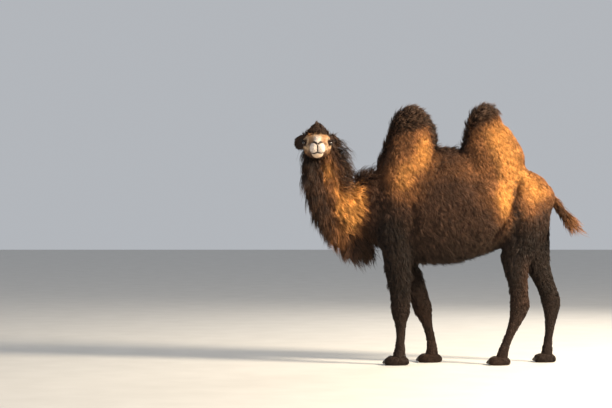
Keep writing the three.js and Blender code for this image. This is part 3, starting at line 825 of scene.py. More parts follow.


# %% [markdown]
# ## Markings
#
# A brown Bactrian camel is darkest where the hair is longest: beard, mane, hump tops, forearms
# and legs are almost black. The woolly sides are chocolate, with gold over the humps, paunch and
# rump and on the side of the neck that is partly the coat's own gold and partly painted sunlight;
# the humps' front edges and the fold before the thigh are darkened with painted shade. The face
# is tan with a pale muzzle. Skin and coat take the same colour from one function of place, so no
# skin of another colour shines through.

# %% Tones and where they lie
TONE_STEPS = np.array([0.0, 0.3, 0.62, 1.0])
TONES = np.array([
    [0.0135, 0.0085, 0.0072],  # black-brown
    [0.0520, 0.0250, 0.0150],  # chocolate
    [0.2100, 0.0880, 0.0330],  # chestnut
    # gold: partly the coat's own, partly painted sunlight where the patches raise the tone to it
    [0.6400, 0.2950, 0.0760],  # bleached gold
])
# The legs of a pair differ in tone, the right foreleg and the left hind leg lighter: painted light and
# shade on one coat.
PART_TONE = {
    "trunk": 0.27, "hump_front": 0.47, "hump_rear": 0.56, "neck": 0.22, "throat": 0.10,
    "tail": 1.10, "foreleg_left": 0.07, "foreleg_right": 0.14, "hindleg_left": 0.11,
    "hindleg_right": 0.04, "head": 0.16, "topknot": 0.16, "ear_left": 0.10, "ear_right": 0.10,
}
TONE_LIGHT_AND_SHADE_PATCHES = [  # x, y, z, radii, change of tone: left and right alike
    # patches that raise the tone on the humps, paunch, flank, rump, thigh, withers and neck: partly the
    # coat's own gold, partly painted sunlight
    [-130, 120, 1790, 85, 200, 150, 0.50],  # rear side of the front hump
    [-230, 200, 1650, 150, 200, 100, 0.22],
    # painted shade on the front edge of the front hump
    [-430, 60, 1780, 60, 200, 260, -0.16],  # front edge of the front hump
    [480, 100, 1880, 120, 200, 150, 0.34],  # rear side of the rear hump
    [580, 150, 1690, 130, 200, 130, 0.30],
    # painted shade on the front edge of the rear hump
    [240, 60, 1850, 40, 200, 180, -0.14],  # front edge of the rear hump
    [130, 0, 1790, 150, 70, 50, -0.30],  # line of the back
    [830, 120, 1430, 150, 260, 130, 0.52],  # rump
    [700, 200, 1560, 150, 200, 100, 0.40],
    [520, 300, 1350, 85, 200, 190, 0.66],  # paunch and flank
    [440, 320, 1400, 150, 200, 120, 0.20],
    # painted shade in the fold before the thigh
    [615, 270, 1290, 28, 200, 130, -0.40],  # fold before the thigh
    [230, 300, 1620, 220, 200, 90, 0.22],
    [-320, 260, 1500, 140, 200, 160, 0.44],  # withers
    # painted sunlight on the side of the neck, over its own gold
    [-765, 130, 1400, 112, 200, 230, 1.30],  # side of the neck
    [-700, 150, 1340, 80, 200, 150, 0.36],
    [-930, 110, 1640, 56, 200, 120, 0.60],
    [-860, 100, 1060, 95, 200, 130, 0.44],  # lower beard
    [100, 0, 860, 700, 500, 290, -0.26],  # belly
    [-420, 200, 1150, 150, 200, 280, -0.14],  # shoulder and breast
    [700, 260, 1060, 130, 200, 130, -0.12],  # thigh
    [720, 240, 1310, 110, 200, 160, 0.28],
    [930, 120, 1180, 60, 200, 200, -0.1],
    # painted sunlight on the back of the gaskin
    [715, 190, 700, 50, 200, 200, 0.22],  # back of the near gaskin
]
# a hump's crown grows where a x + b z is over a level, between two places along the back
HUMP_CROWN = [(-0.33, 0.94, 1912, -700, 60), (-0.53, 0.85, 1518, 60, 900)]
CROWN_EDGE = 22  # half the width of the crown's soft edge


def smoothstep(low, high, v):
    """0 below low, 1 above high, and an S-curve between."""
    t = np.clip((v - low) / (high - low), 0, 1)
    return t * t * (3 - 2 * t)


def blob(points, centre, radii):
    """exp(-distance squared), counted in the radii, around a centre and its mirror image."""
    local = points * [1, 0, 1] + np.abs(points) * [0, 1, 0]
    return np.exp(-(((local - centre) / radii) ** 2).sum(1))


def crown(points):
    """How much a point belongs to the dark crown of hair on top of a hump."""
    x, y, z = points.T
    on = np.zeros(len(points))
    for a, b, level, low, high in HUMP_CROWN:
        inside = (x > low) & (x < high)
        over = smoothstep(level - CROWN_EDGE, level + CROWN_EDGE, a * x + b * z)
        on = np.maximum(on, inside * over)
    rear_ridge = smoothstep(-150, -120, x) * smoothstep(40, 10, x) * smoothstep(1700, 1780, z)
    front_ridge = smoothstep(1560, 1640, z) * smoothstep(-330, -370, x + 0.25 * (1960 - z))
    front_ridge = front_ridge * smoothstep(-680, -640, x)
    back_line = smoothstep(-10, 30, x) * smoothstep(290, 250, x) * smoothstep(1700, 1760, z)
    ridges = np.maximum(np.maximum(rear_ridge, 0.8 * back_line), 0.8 * front_ridge)
    return np.maximum(on, ridges * smoothstep(75, 35, np.abs(y)))


def crest(points, normals, weight):
    """How much a point belongs to the dark mane along the top of the neck and the withers."""
    x, y, z = points.T
    on = weight[:, PART["neck"]] + weight[:, PART["trunk"]] + weight[:, PART["hump_front"]]
    on = on * smoothstep(-400, -480, x) * smoothstep(0.12, 0.5, normals @ [0.6, 0, 0.8])
    ears = weight[:, [PART["ear_left"], PART["ear_right"]]].sum(1)
    on = on * smoothstep(0.2, 0.05, ears)
    return on * smoothstep(1380, 1460, z) * smoothstep(120, 60, np.abs(y + 30))


def tone_of(points, normals, weight, along):
    """The tone of the coat at each point, from 0, black-brown, to 1, gold, with painted sunlight and
    shade.
    """
    tone = weight @ np.array([PART_TONE[name] for name in PART_NAMES])
    for x, y, z, rx, ry, rz, change in TONE_LIGHT_AND_SHADE_PATCHES:
        tone += change * blob(points, [x, y, z], [rx, ry, rz])
    legs = sum(weight[:, PART[name]] for name in LEGS)
    tone -= 0.3 * legs * smoothstep(900, 650, points[:, 2]) * np.clip(tone - 0.2, 0, 1)
    tone -= 0.5 * weight[:, PART["tail"]] * smoothstep(0.45, 0.95, along)
    dark = np.maximum(crown(points), 0.9 * crest(points, normals, weight))
    return np.clip(tone * (1 - dark) + 0.05 * dark, 0, 1)


def coat_colour(points, normals, weight, along):
    """Linear red, green and blue of the coat at each point."""
    tone = tone_of(points, normals, weight, along)
    body_colour = np.stack([np.interp(tone, TONE_STEPS, TONES[:, k]) for k in range(3)], 1)
    x, y, z = to_head(points).T
    edge = z + 4 * np.sin(y / 7) + 3 * np.sin(y / 3.1 + x / 9)
    on_face = weight[:, PART["head"]] * smoothstep(165, 215, x) * smoothstep(84, 68, edge)
    return body_colour + on_face[:, None] * (face_colour(to_head(points)) - body_colour)


# %% Colours of the face
FACE_BROWN = np.array([0.085, 0.040, 0.022])
FACE_TAN = np.array([0.400, 0.200, 0.085])
FACE_CREAM = np.array([0.520, 0.350, 0.215])
FACE_WHITE = np.array([0.620, 0.520, 0.450])
FACE_DARK = np.array([0.010, 0.007, 0.006])
LID_BROWN = np.array([0.052, 0.026, 0.015])
LINE_STEP = 4  # a groove's line is repeated this far under itself, down to the groove's depth
# painted shade in the mouth, the lip's edge, the nostrils and the cleft: line, width, depth
GROOVE_SHADE_LINES = [(MOUTH, 3.2, 10), (LIP_EDGE, 5.0, 10), (NOSTRIL, 6.6, 24), (CLEFT, 4.0, 9)]
groove_shade_lines = [
    (laid_on(np.array(line) * [1, sign, 1], smooth_head) - [sunk, 0, 0], width)
    for line, width, depth in GROOVE_SHADE_LINES
    for sign in (1, -1)
    for sunk in np.arange(0, depth, LINE_STEP)
]


def mixed(base, other, share):
    """base, moved towards another colour by a share for each point."""
    return base + share[:, None] * (other - base)


def eye_distance(p):
    """Distance from the middle of the nearer eye, seen from the side, in the head's frame."""
    away = (p * [1, 0, 1] - EYE_AT * [1, 0, 1] - [4, 0, 1]) * [0.8, 0, 1]
    return np.linalg.norm(away, axis=1) + 200 * smoothstep(45, 30, np.abs(p[:, 1]))


def lid_rim(p):
    """How much a point belongs to the dark edges of the lids: its angle from the gaze is less than
    16 degrees outside the opening's."""
    offset = p * [1, 0, 1] + np.abs(p) * [0, 1, 0] - EYE_AT
    gaze, front, up = eye_axes(1)
    polar = np.arccos(np.clip(unit(offset) @ gaze, -1, 1))
    outside = np.degrees(polar - opening(np.arctan2(offset @ up, offset @ front)))
    return smoothstep(16, 7, outside) * smoothstep(34, 28, np.linalg.norm(offset, axis=1))


def face_colour(p):
    """Linear colours of the face at points in the head's frame, laid on one over the other. x runs
    to the nose, y to either side and z up from the eyes. Each mark is a product of soft edges."""
    x, y, z = p[:, 0], np.abs(p[:, 1]), p[:, 2]
    colour = np.broadcast_to(FACE_BROWN, p.shape)
    colour = mixed(colour, FACE_TAN, smoothstep(-10, 40, z) * smoothstep(180, 240, x))
    cheek = np.exp(-(((x - 330) / 70) ** 2 + ((z + 38) / 26) ** 2)) * smoothstep(40, 60, y)
    colour = mixed(colour, FACE_CREAM, 0.95 * cheek)
    # painted sunlight: a tan strip on the side of the jaw
    sunlit_jaw = np.exp(-(((x - 235) / 55) ** 2 + ((z + 74) / 24) ** 2)) * smoothstep(50, 70, y)
    colour = mixed(colour, FACE_TAN, 0.8 * sunlit_jaw)
    brow = smoothstep(60, 25, y) * smoothstep(215, 290, x) * smoothstep(-5, 25, z)
    colour = mixed(colour, FACE_CREAM, 0.8 * brow)
    bridge = smoothstep(38, 14, y) * smoothstep(270, 400, x) * smoothstep(-30, 5, z)
    colour = mixed(colour, FACE_WHITE, bridge)
    # darker tan on the flanks of the nose: partly the hair's own tan, partly painted shade
    nose_flank_tan_and_shade = smoothstep(20, 48, y) * smoothstep(320, 400, x) * smoothstep(-16, 12, z)
    colour = mixed(colour, 0.6 * FACE_TAN, 0.8 * nose_flank_tan_and_shade)
    away = eye_distance(p)
    colour = mixed(colour, FACE_CREAM, 0.85 * smoothstep(56, 40, away))
    colour = mixed(colour, LID_BROWN, 0.95 * smoothstep(35, 25, away))
    colour = mixed(colour, FACE_DARK, lid_rim(p))
    tear = smoothstep(10, 3, np.abs(z + 12 + 0.5 * (x - 290))) * smoothstep(276, 290, x)
    colour = mixed(colour, FACE_DARK, 0.6 * smoothstep(45, 60, y) * tear * smoothstep(350, 320, x))
    lips = smoothstep(385, 480, x + 6 * np.sin(z / 9)) * smoothstep(4, -12, z)
    colour = mixed(colour, FACE_WHITE, lips)
    colour = mixed(colour, FACE_CREAM, 0.7 * lips * smoothstep(-84, -96, z))
    # dark brown under the cheeks: partly the brown hair there, partly painted shade between cheek and
    # jaw
    colour = mixed(colour, FACE_BROWN, 0.9 * smoothstep(62, 92, -z) * smoothstep(445, 395, x))
    # painted shade beside the mouth, along the line of the lips
    under = smoothstep(-62, -80, z) * smoothstep(-96, -84, z) * smoothstep(30, 46, y)
    colour = mixed(colour, FACE_BROWN, 0.45 * under * smoothstep(380, 440, x))
    # painted shade in the grooves of the mouth, lip's edge, nostrils and cleft
    for line, width in groove_shade_lines:
        colour = mixed(colour, FACE_DARK, 0.96 * np.exp(-((distance_to_line(p, line) / width) ** 2)))
    return colour


# %% [markdown]
# ## Unwrap and colour the skin
#
# Each tuft keeps the place of its root on an unwrap of the skin, so that a baked texture can give
# it its colour. Every part of the body is unwrapped like a box: a face is projected along the
# axis that its normal is nearest to, and each of a part's six sides gets its own rectangle. An
# automatic unwrap would leave long legs in one island and waste nine tenths of the square.

# %% Unwrap as boxes
UNWRAP_GAP = 0.004


def packed_shelves(sizes, width):
    """Lower left corners of rectangles put side by side on shelves of this width, tallest first,
    and the height of all the shelves."""
    corners, x, y, shelf = np.zeros_like(sizes), 0.0, 0.0, 0.0
    for i in np.argsort(-sizes[:, 1]):
        if x + sizes[i, 0] > width:
            x, y, shelf = 0.0, y + shelf, 0.0
        corners[i] = x, y
        x, shelf = x + sizes[i, 0], max(shelf, sizes[i, 1])
    return corners, y + shelf


def box_unwrap(points, triangles, part):
    """Places on the unit square for the three corners of each triangle. The part of each triangle
    and the axis nearest to its normal choose its rectangle."""
    xyz = points[triangles] / 1000
    normal = np.cross(xyz[:, 1] - xyz[:, 0], xyz[:, 2] - xyz[:, 0])
    axis = np.abs(normal).argmax(1)
    rows = np.arange(len(triangles))
    group = part * 6 + axis * 2 + (normal[rows, axis] > 0)
    flat = np.take_along_axis(xyz, np.array([[1, 2], [0, 2], [0, 1]])[axis][:, None, :], 2)
    _, group = np.unique(group, return_inverse=True)
    low, high = np.full((group.max() + 1, 2), 1e9), np.full((group.max() + 1, 2), -1e9)
    np.minimum.at(low, group, flat.min(1))
    np.maximum.at(high, group, flat.max(1))
    sizes, width = high - low, 1.0
    for _ in range(30):
        gap = UNWRAP_GAP * width
        corners, height = packed_shelves(sizes + 2 * gap, width)
        width = (width + max(height, width * 0.97)) / 2 if height > width else width * 0.98
    side = max(height, (corners + sizes + 2 * gap).max())
    return (flat - low[group][:, None] + corners[group][:, None] + gap) / side


def write_uv(obj, corners, uv):
    """Gives an object's mesh the map OFBake, with a place for each corner of each triangle."""
    layer = obj.data.uv_layers.new(name="OFBake")
    flat = np.zeros((len(obj.data.loops), 2), np.float32)
    flat[corners.ravel()] = uv.reshape(-1, 2)
    layer.data.foreach_set("uv", flat.ravel())


skin_points, _ = arrays_of(skin)
skin_triangles, skin_corners = triangles_of(skin)
skin_normals = normals_of(skin_points, skin_triangles)
skin_weight, skin_lie, skin_coat, skin_along = part_fields(skin_points)
skin_uv = box_unwrap(skin_points, skin_triangles, skin_weight[skin_triangles].mean(1).argmax(1))
write_uv(skin, skin_corners, skin_uv)
skin_colour = coat_colour(skin_points, skin_normals, skin_weight, skin_along)
print("unwrap from", skin_uv.min().round(4), "to", skin_uv.max().round(4))


def colour_attribute(obj, name, colours):
    """Writes one linear colour for each point of an object's mesh."""
    layer = obj.data.attributes.new(name, "FLOAT_COLOR", "POINT")
    rgba = np.hstack([colours, np.ones((len(colours), 1))]).astype(np.float32)
    layer.data.foreach_set("color", rgba.ravel())


def number_attribute(obj, name, values):
    """Writes one number for each point of an object's mesh."""
    layer = obj.data.attributes.new(name, "FLOAT", "POINT")
    layer.data.foreach_set("value", np.asarray(values, np.float32))


colour_attribute(skin, "coat_colour", skin_colour)

# %% [markdown]
# ## Hair
#
# Strands could be curves, but solid tufts keep their shape in every program. A tuft is a three-
# sided spike: rings along a centre line that starts a little under the skin, rises at a small
# angle and lies down along the coat. Gravity bends it, a wave curls it, and it leans towards
# the tip of its lock's middle tuft, as wool does. All tufts are made at once with arrays.

# %% How long, thick and upright the hair of each part is
# length in coat depths, lift in radians, droop, wave, clumping, cover in layers
PART_HAIR = {
    "trunk": (2.4, 0.42, 0.20, 0.22, 0.22, 3.2),
    "hump_front": (2.2, 0.42, 0.10, 0.22, 0.22, 3.2),
    "hump_rear": (2.2, 0.42, 0.10, 0.22, 0.22, 3.2),
    "neck": (3.8, 0.55, 0.25, 0.35, 0.50, 3.4),
    "throat": (7.5, 0.45, 0.85, 0.40, 0.60, 7.0),
    "tail": (4.5, 0.55, 0.30, 0.25, 0.40, 5.0),
    "foreleg_left": (2.9, 0.45, 0.35, 0.20, 0.35, 2.6),
    "foreleg_right": (2.9, 0.45, 0.35, 0.20, 0.35, 2.6),
    "hindleg_left": (2.7, 0.40, 0.25, 0.16, 0.30, 2.6),
    "hindleg_right": (2.7, 0.40, 0.25, 0.16, 0.30, 2.6),
    "head": (3.0, 0.35, 0.05, 0.10, 0.25, 2.2),
    "topknot": (2.1, 0.45, 0.00, 0.25, 0.30, 4.5),
    "ear_left": (2.0, 0.45, 0.10, 0.15, 0.20, 4.0),
    "ear_right": (2.0, 0.45, 0.10, 0.15, 0.20, 4.0),
}
TUFT_WIDTH = 1.75  # width of a tuft: this times the root of the coat's depth, in millimetres
MOST_TUFTS_PER_M2 = 24000.0
# lengths of hair that don't follow the depth of the coat, in millimetres
CROWN_HAIR, BROW_HAIR, EAR_HAIR = 69.0, 26.0, 15.0
CREST_HAIR = (155.0, 198.0)  # on the withers and behind the poll
CREST_HEIGHTS = (1560, 1760)  # between these heights it changes from one to the other
MORE_BELLY_HAIR, MORE_FOREARM_HAIR, MORE_TAIL_HAIR = 32.0, 32.0, 70.0
SINK = 0.12  # a tuft starts this share of the coat's depth under the skin


def turned(hair, share, **targets):
    """Moves values of the hair towards others, by a share for each point."""
    for key, target in targets.items():
        part = share[:, None] if key == "lie" else share
        hair[key] = hair[key] + part * (np.asarray(target) - hair[key])


def added(hair, share, **amounts):
    """Adds to values of the hair, by a share for each point."""
    for key, amount in amounts.items():
        hair[key] = hair[key] + share * amount


def long_hair_zones(hair, points, normals, weight, along):
    """Grows the long hair of the humps' crowns, the crest, the belly, the forearms and the tail's
    tip, and gives how much each point belongs to the crowns, the crest and the tail's tip."""
    x, _, z = points.T
    on_crown = crown(points)
    turned(hair, on_crown, length=CROWN_HAIR, lift=0.95, lie=[0.7, 0, 0.25])
    added(hair, on_crown, clump=0.10, cover=5)

    on_crest = crest(points, normals, weight)
    withers, poll = CREST_HAIR
    crest_length = withers + (poll - withers) * smoothstep(*CREST_HEIGHTS, z)
    turned(hair, on_crest, length=crest_length, lift=1.9 - 0.6 * smoothstep(1540, 1700, z))
    turned(hair, on_crest, lie=[0.75, 0, -0.1])
    added(hair, on_crest, wave=0.3, cover=5)

    on_belly = weight[:, PART["trunk"]] * smoothstep(-0.3, -0.7, normals[:, 2])
    added(hair, on_belly, droop=0.5)
    added(hair, on_belly * smoothstep(450, 0, x), length=MORE_BELLY_HAIR)
    on_forearm = sum(weight[:, PART[name]] for name in ("foreleg_left", "foreleg_right"))
    on_forearm = on_forearm * smoothstep(560, 760, z) * smoothstep(0.0, 0.8, normals[:, 0])
    added(hair, on_forearm, length=MORE_FOREARM_HAIR)
    on_tail_tip = weight[:, PART["tail"]] * smoothstep(0.55, 0.85, along)
    added(hair, on_tail_tip, length=MORE_TAIL_HAIR)
    return np.stack([on_crown, on_crest, on_tail_tip], 1)


def head_hair_zones(hair, points, weight):
    """Combs the fringe down over the brow and keeps the hair of the muzzle and ears short and
    flat. Gives how much each point belongs to the muzzle and the ears, and how bare it is: round
    the eyes and along the mouth and nostrils."""
    in_head = to_head(points)
    hx, hy, hz = in_head.T
    on_head = smoothstep(0.2, 0.5, weight[:, PART["head"]])
    on_brow = on_head * smoothstep(62, 76, hz) * smoothstep(300, 262, hx) * smoothstep(120, 160, hx)
    turned(hair, on_brow, length=BROW_HAIR, lie=[0.0, -0.9, -0.3])
    added(hair, on_brow, lift=0.3, wave=0.4)

    on_muzzle = on_head * smoothstep(300, 400, hx)
    hair["cover"] = hair["cover"] * (1 - 0.7 * on_muzzle)
    hair["lift"] = hair["lift"] * (1 - 0.7 * on_muzzle)

    on_ear = smoothstep(0.08, 0.3, weight[:, [PART["ear_left"], PART["ear_right"]]].sum(1))
    on_ear = np.maximum(on_ear, smoothstep(100, 116, -hy) * smoothstep(-80, -70, hz))
    turned(hair, on_ear, length=EAR_HAIR, lift=0.25, wave=0.15)
    hair["clump"] = hair["clump"] * (1 - on_ear)

    bare = smoothstep(36, 30, eye_distance(in_head))
    for line, line_width in groove_shade_lines:
        bare = np.maximum(bare, smoothstep(3.2, 2.2, distance_to_line(in_head, line) / line_width))
    return on_muzzle, on_ear, on_head * bare


def hair_at(points, normals, weight, along, coat, lie):
    """Length, width, lift, droop, wave, clumping and cover of the hair at points of the skin, its
    lie, and the zones of long hair. No hair is longer than 0.6 of its root's height over the
    floor, so that its tip stays over it, and none grows from the soles."""
    table = weight @ np.array([PART_HAIR[name] for name in PART_NAMES])
    hair = dict(zip(("length", "lift", "droop", "wave", "clump", "cover"), table.T), lie=lie)
    hair["length"] = hair["length"] * coat
    zones = long_hair_zones(hair, points, normals, weight, along)
    on_muzzle, on_ear, bare = head_hair_zones(hair, points, weight)
    height = points[:, 2]
    hair["length"] = np.minimum(hair["length"], 0.6 * height + 1)
    hair["cover"] = hair["cover"] * (1 - bare) * smoothstep(2, 10, height)
    long_part = weight[:, PART["throat"]] + weight[:, PART["neck"]]
    thin = (1 - 0.3 * zones[:, 0]) * (1 - 0.25 * long_part)
    thin = thin * (1 - 0.45 * on_muzzle) * (1 - 0.35 * on_ear)
    width = TUFT_WIDTH * np.sqrt(coat.clip(2)) * thin
    return {**hair, "width": width, "lie": unit(hair["lie"]), "zone": zones}


skin_hair = hair_at(skin_points, skin_normals, skin_weight, skin_along, skin_coat, skin_lie)
skin_density = 2 * skin_hair["cover"] / (skin_hair["length"] * skin_hair["width"]) * 1e6
skin_density = skin_density.clip(0, MOST_TUFTS_PER_M2)


# %% Roots spread over the skin
CELL = 30.0  # roots are dealt out evenly between cells of this size


def scattered(points, triangles, density):
    """Roots on a surface with this density per square metre at its points: triangle numbers and
    the shares of their corners. The triangles are put in the order of the cell they are in, and
    equal steps along their added-up counts, with a random part each, then pick the roots."""
    corners = points[triangles]
    across = np.cross(corners[:, 1] - corners[:, 0], corners[:, 2] - corners[:, 0])
    area = np.linalg.norm(across, axis=1)
    cells = np.floor(corners.mean(1) / CELL).astype(np.int64)
    order = np.lexsort((rng.random(len(cells)), cells[:, 2], cells[:, 1], cells[:, 0]))
    wanted = np.cumsum((area / 2e6 * density[triangles].mean(1))[order])
    count = int(wanted[-1])
    at = (np.arange(count) + rng.random(count)) / count * wanted[-1]
    chosen = order[np.searchsorted(wanted, at).clip(0, len(order) - 1)]
    u, v = rng.random((2, count))
    flip = u + v > 1
    u, v = np.where(flip, 1 - u, u), np.where(flip, 1 - v, v)
    return chosen, np.stack([1 - u - v, u, v], 1)


def spread(values, triangles, chosen, shares):
    """Values of points carried to the roots: the sum of the corners' values times their shares."""
    corner = values[triangles[chosen]]
    return np.einsum("nk,nk...->n...", shares, corner)


def locks_of(roots, size):
    """For each root, the number of the root in the middle of its lock: the nearest of as many
    random ones as leave that many tufts to a lock."""
    middles = np.flatnonzero(rng.random(len(roots)) < 1 / size)
    tree = KDTree(len(middles))
    for i in middles:
        tree.insert(roots[i], int(i))
    tree.balance()
    return np.fromiter((tree.find(p)[1] for p in roots), np.int64, len(roots))


# %% Tufts
RIDGE = 0.42  # height of a tuft over its flat underside, in widths
# how much tufts differ from each other, and locks from each other
TWIST_SPREAD, LENGTH_SPREAD, LIFT_SPREAD = (0.22, 0.30), (0.16, 0.16), (0.20, 0.25)
WIDTH_SPREAD, PHASE_SPREAD = 0.2, 0.5
GATHER = 0.8  # share of the way to its lock's tip that a fully clumped tuft goes


def varied(spread, lock):
    """A normal random number for each tuft, plus one that the tufts of a lock share."""
    own, shared = spread
    n = len(lock)
    return rng.normal(0, own, n) + rng.normal(0, shared, n)[lock]


def tuft_triangles(steps):
    """Triangles of one spike of three-sided rings, whose tip is its last point."""
    tip, last = 3 * steps, 3 * (steps - 1)
    rows = [[0, 1, 2]]
    for start in range(0, last, 3):
        for j in range(3):
            a, b = start + j, start + (j + 1) % 3
            rows += [[a, a + 3, b], [b, a + 3, b + 3]]
    rows += [[last + j, tip, last + (j + 1) % 3] for j in range(3)]
    return np.array(rows)


def tufts(roots, normals, hair, lock, steps):
    """Points, triangles and the place along the tuft of three-sided spikes. At the share t of the
    length the centre line runs along cos(a) lie + sin(a) normal, with a = lift (1 - t), plus the
    droop t downwards and a wave across of wave sin(2 pi t + phase). The width is
    (1 - 0.85 t^1.3) of the full one."""
    n = len(roots)
    lie = unit(hair["lie"] - (hair["lie"] * normals).sum(1, keepdims=True) * normals)
    twist = varied(TWIST_SPREAD, lock)
    aside = np.cross(normals, lie)
    lie = np.cos(twist)[:, None] * lie + np.sin(twist)[:, None] * aside
    aside = np.cross(normals, lie)
    long = hair["length"] * np.exp(varied(LENGTH_SPREAD, lock))
    lift = hair["lift"] * np.exp(varied(LIFT_SPREAD, lock))
    phase = 2 * np.pi * rng.random(n)[lock] + rng.normal(0, PHASE_SPREAD, n)
    at, line, t = roots - normals * (SINK * hair["coat"])[:, None], [], np.arange(steps + 1) / steps
    for k in range(steps + 1):
        line.append(at)
        middle = (k + 0.5) / steps
        a = lift * (1 - middle)
        run = np.cos(a)[:, None] * lie + np.sin(a)[:, None] * normals
        run = run - [0, 0, 1] * (hair["droop"] * middle)[:, None]
        run = run + aside * (hair["wave"] * np.sin(2 * np.pi * middle + phase))[:, None]
        at = at + unit(run) * (long / steps)[:, None]
    line = np.stack(line, 1)
    gather = (hair["clump"][:, None] * t**1.4)[..., None]
    line = line + gather * (line[lock, -1] - line[:, -1])[:, None] * GATHER
    along = unit(np.gradient(line, axis=1))
    over = unit(np.cross(along, aside[:, None]))
    wide = (hair["width"] * np.exp(rng.normal(0, WIDTH_SPREAD, n)))[:, None] * (1 - 0.85 * t**1.3)
    wide = wide[:, :steps, None]
    middle, over = line[:, :steps], over[:, :steps]
    sides = aside[:, None] * wide / 2
    ring = np.stack([middle + sides, middle + over * RIDGE * wide, middle - sides], 2)
    points = np.concatenate([ring.reshape(n, -1, 3), line[:, -1:]], 1)
    count = 3 * steps + 1
    starts = (np.arange(n) * count)[:, None, None]
    triangles = (tuft_triangles(steps)[None] + starts).reshape(-1, 3)
    place = np.broadcast_to(np.r_[np.repeat(t[:steps], 3), 1.0], (n, count))
    return points.reshape(-1, 3), triangles, place


# %% Grow the coat
PATCH = 0.003  # width of a tuft's patch on the unwrap
STEPS = [(60.0, 2), (105.0, 3), (1e9, 5)]  # up to this length, that many rings
LOCK_TUFTS = 14
MOST_TRIANGLES = 190000
# spread of the tones of locks and of tufts, and what the neck and beard have more of it
LOCK_TONE, TUFT_TONE = (0.14, 0.22), (0.14, 0.12)
# name of the coat piece of each part, where it isn't coat_ and the part's name
PIECE_NAMES = {"throat": "beard", "topknot": "topknot_hair"}
PIECE_NAMES |= {"ear_left": "coat_head", "ear_right": "coat_head"}
BETWEEN_HUMPS = 60


def piece_of(weight, zone, points):
    """The name of the coat piece that each root belongs to."""
    part_piece = [PIECE_NAMES.get(name, f"coat_{name}") for name in PART_NAMES]
    names = np.array(part_piece, dtype=object)[weight.argmax(1)]
    flank = np.where(points[:, 1] < 0, "coat_flank_left", "coat_flank_right")
    names = np.where(names == "coat_trunk", flank, names)
    crown_name = np.where(points[:, 0] < BETWEEN_HUMPS, "hump_tuft_hair_front", "hump_tuft_hair_rear")
    for share, name in zip(zone.T, (crown_name, "crest_hair", "tail_tuft_hair")):
        names = np.where(share > 0.5, name, names)
    return names


chosen, shares = scattered(skin_points, skin_triangles, skin_density)
root = {
    "at": spread(skin_points, skin_triangles, chosen, shares),
    "normal": unit(spread(skin_normals, skin_triangles, chosen, shares)),
    "weight": spread(skin_weight, skin_triangles, chosen, shares),
    "colour": spread(skin_colour, skin_triangles, chosen, shares),
    "coat": spread(skin_coat, skin_triangles, chosen, shares),
    "uv": np.einsum("nk,nkd->nd", shares, skin_uv[chosen]),
    **{key: spread(value, skin_triangles, chosen, shares) for key, value in skin_hair.items()},
}
root["piece"] = piece_of(root["weight"], root["zone"], root["at"])
root["lock"] = locks_of(root["at"], LOCK_TUFTS)
long_haired = root["weight"][:, [PART["neck"], PART["throat"]]].sum(1)
lock_spread, tuft_spread = (low + more * long_haired for low, more in (LOCK_TONE, TUFT_TONE))
lock_tone = rng.normal(0, 1, len(chosen))[root["lock"]] * lock_spread
root["tone"] = np.exp(lock_tone + rng.normal(0, 1, len(chosen)) * tuft_spread)
print("tufts", len(chosen))


def coat_piece(name, rows):
    """One object holding the tufts of these roots, in groups by their length."""
    shells, colours, places, tones, patches = [], [], [], [], []
    low = 0.0
    for high, steps in STEPS:
        some = rows[(root["length"][rows] >= low) & (root["length"][rows] < high)]
        low = high
        if len(some) == 0:
            continue
        number = np.full(len(chosen), -1)
        number[some] = np.arange(len(some))
        lock = number[root["lock"][some]]
        lock = np.where(lock < 0, np.arange(len(some)), lock)
        hair = {key: root[key][some] for key in
                ("length", "width", "lift", "droop", "wave", "clump", "coat", "lie")}
        points, triangles, place = tufts(root["at"][some], root["normal"][some], hair, lock, steps)
        count = 3 * steps + 1
        shells.append((points, triangles))
        colours.append(np.repeat(root["colour"][some], count, 0))
        tones.append(np.repeat(root["tone"][some], count))
        places.append(place.ravel())
        corner = np.tile(np.array([-0.5, 0.5, 0.0]), steps)
        patch = np.stack([np.r_[corner, 0.0], place[0] - 0.5], 1) * PATCH
        patches.append((root["uv"][some][:, None] + patch).reshape(-1, 2))
    points, triangles = joined(*shells)
    obj = mesh_object(name, points, triangles)
    layer = obj.data.uv_layers.new(name="OFBake")
    layer.data.foreach_set("uv", np.concatenate(patches)[triangles].astype(np.float32).ravel())
    colour_attribute(obj, "coat_colour", np.concatenate(colours))
    number_attribute(obj, "strand", np.concatenate(places))
    number_attribute(obj, "tone", np.concatenate(tones))
    return obj, len(triangles)


def triangles_per_tuft(length):
    """6 steps - 2 triangles for a tuft of this length."""
    steps = np.select([length < high for high, _ in STEPS], [steps for _, steps in STEPS])
    return 6 * steps - 2


coats, total = {}, 0
for name in np.unique(root["piece"]):
    rows = np.flatnonzero(root["piece"] == name)
    rows = rows[np.argsort(root["at"][rows, 0] if "leg" not in name else -root["at"][rows, 2])]
    load = np.cumsum(triangles_per_tuft(root["length"][rows]))
    parts = int(np.ceil(load[-1] / MOST_TRIANGLES))
    cuts = np.searchsorted(load, load[-1] * np.arange(1, parts) / parts)
    for k, some in enumerate(np.split(rows, cuts)):
        piece_name = name if parts == 1 else f"{name}_{k + 1}"
        coats[piece_name], count = coat_piece(piece_name, some)
        total += count
        print(piece_name, len(some), "tufts", count, "triangles")
print("coat triangles", total)

# %% [markdown]
# ## Eyes, lashes and nails
#
# An eye is a ball with a slightly bulging cornea. Its colours are painted on its points by their
# angle to the gaze: a wide dark pupil that lies flat, a brown iris and a dark rim. A camel's
# lashes are long enough to keep out sand; they are tufts too, rooted along the edges of the lids.
# A nail is a small loft that starts inside the toe and curves down towards the ground.

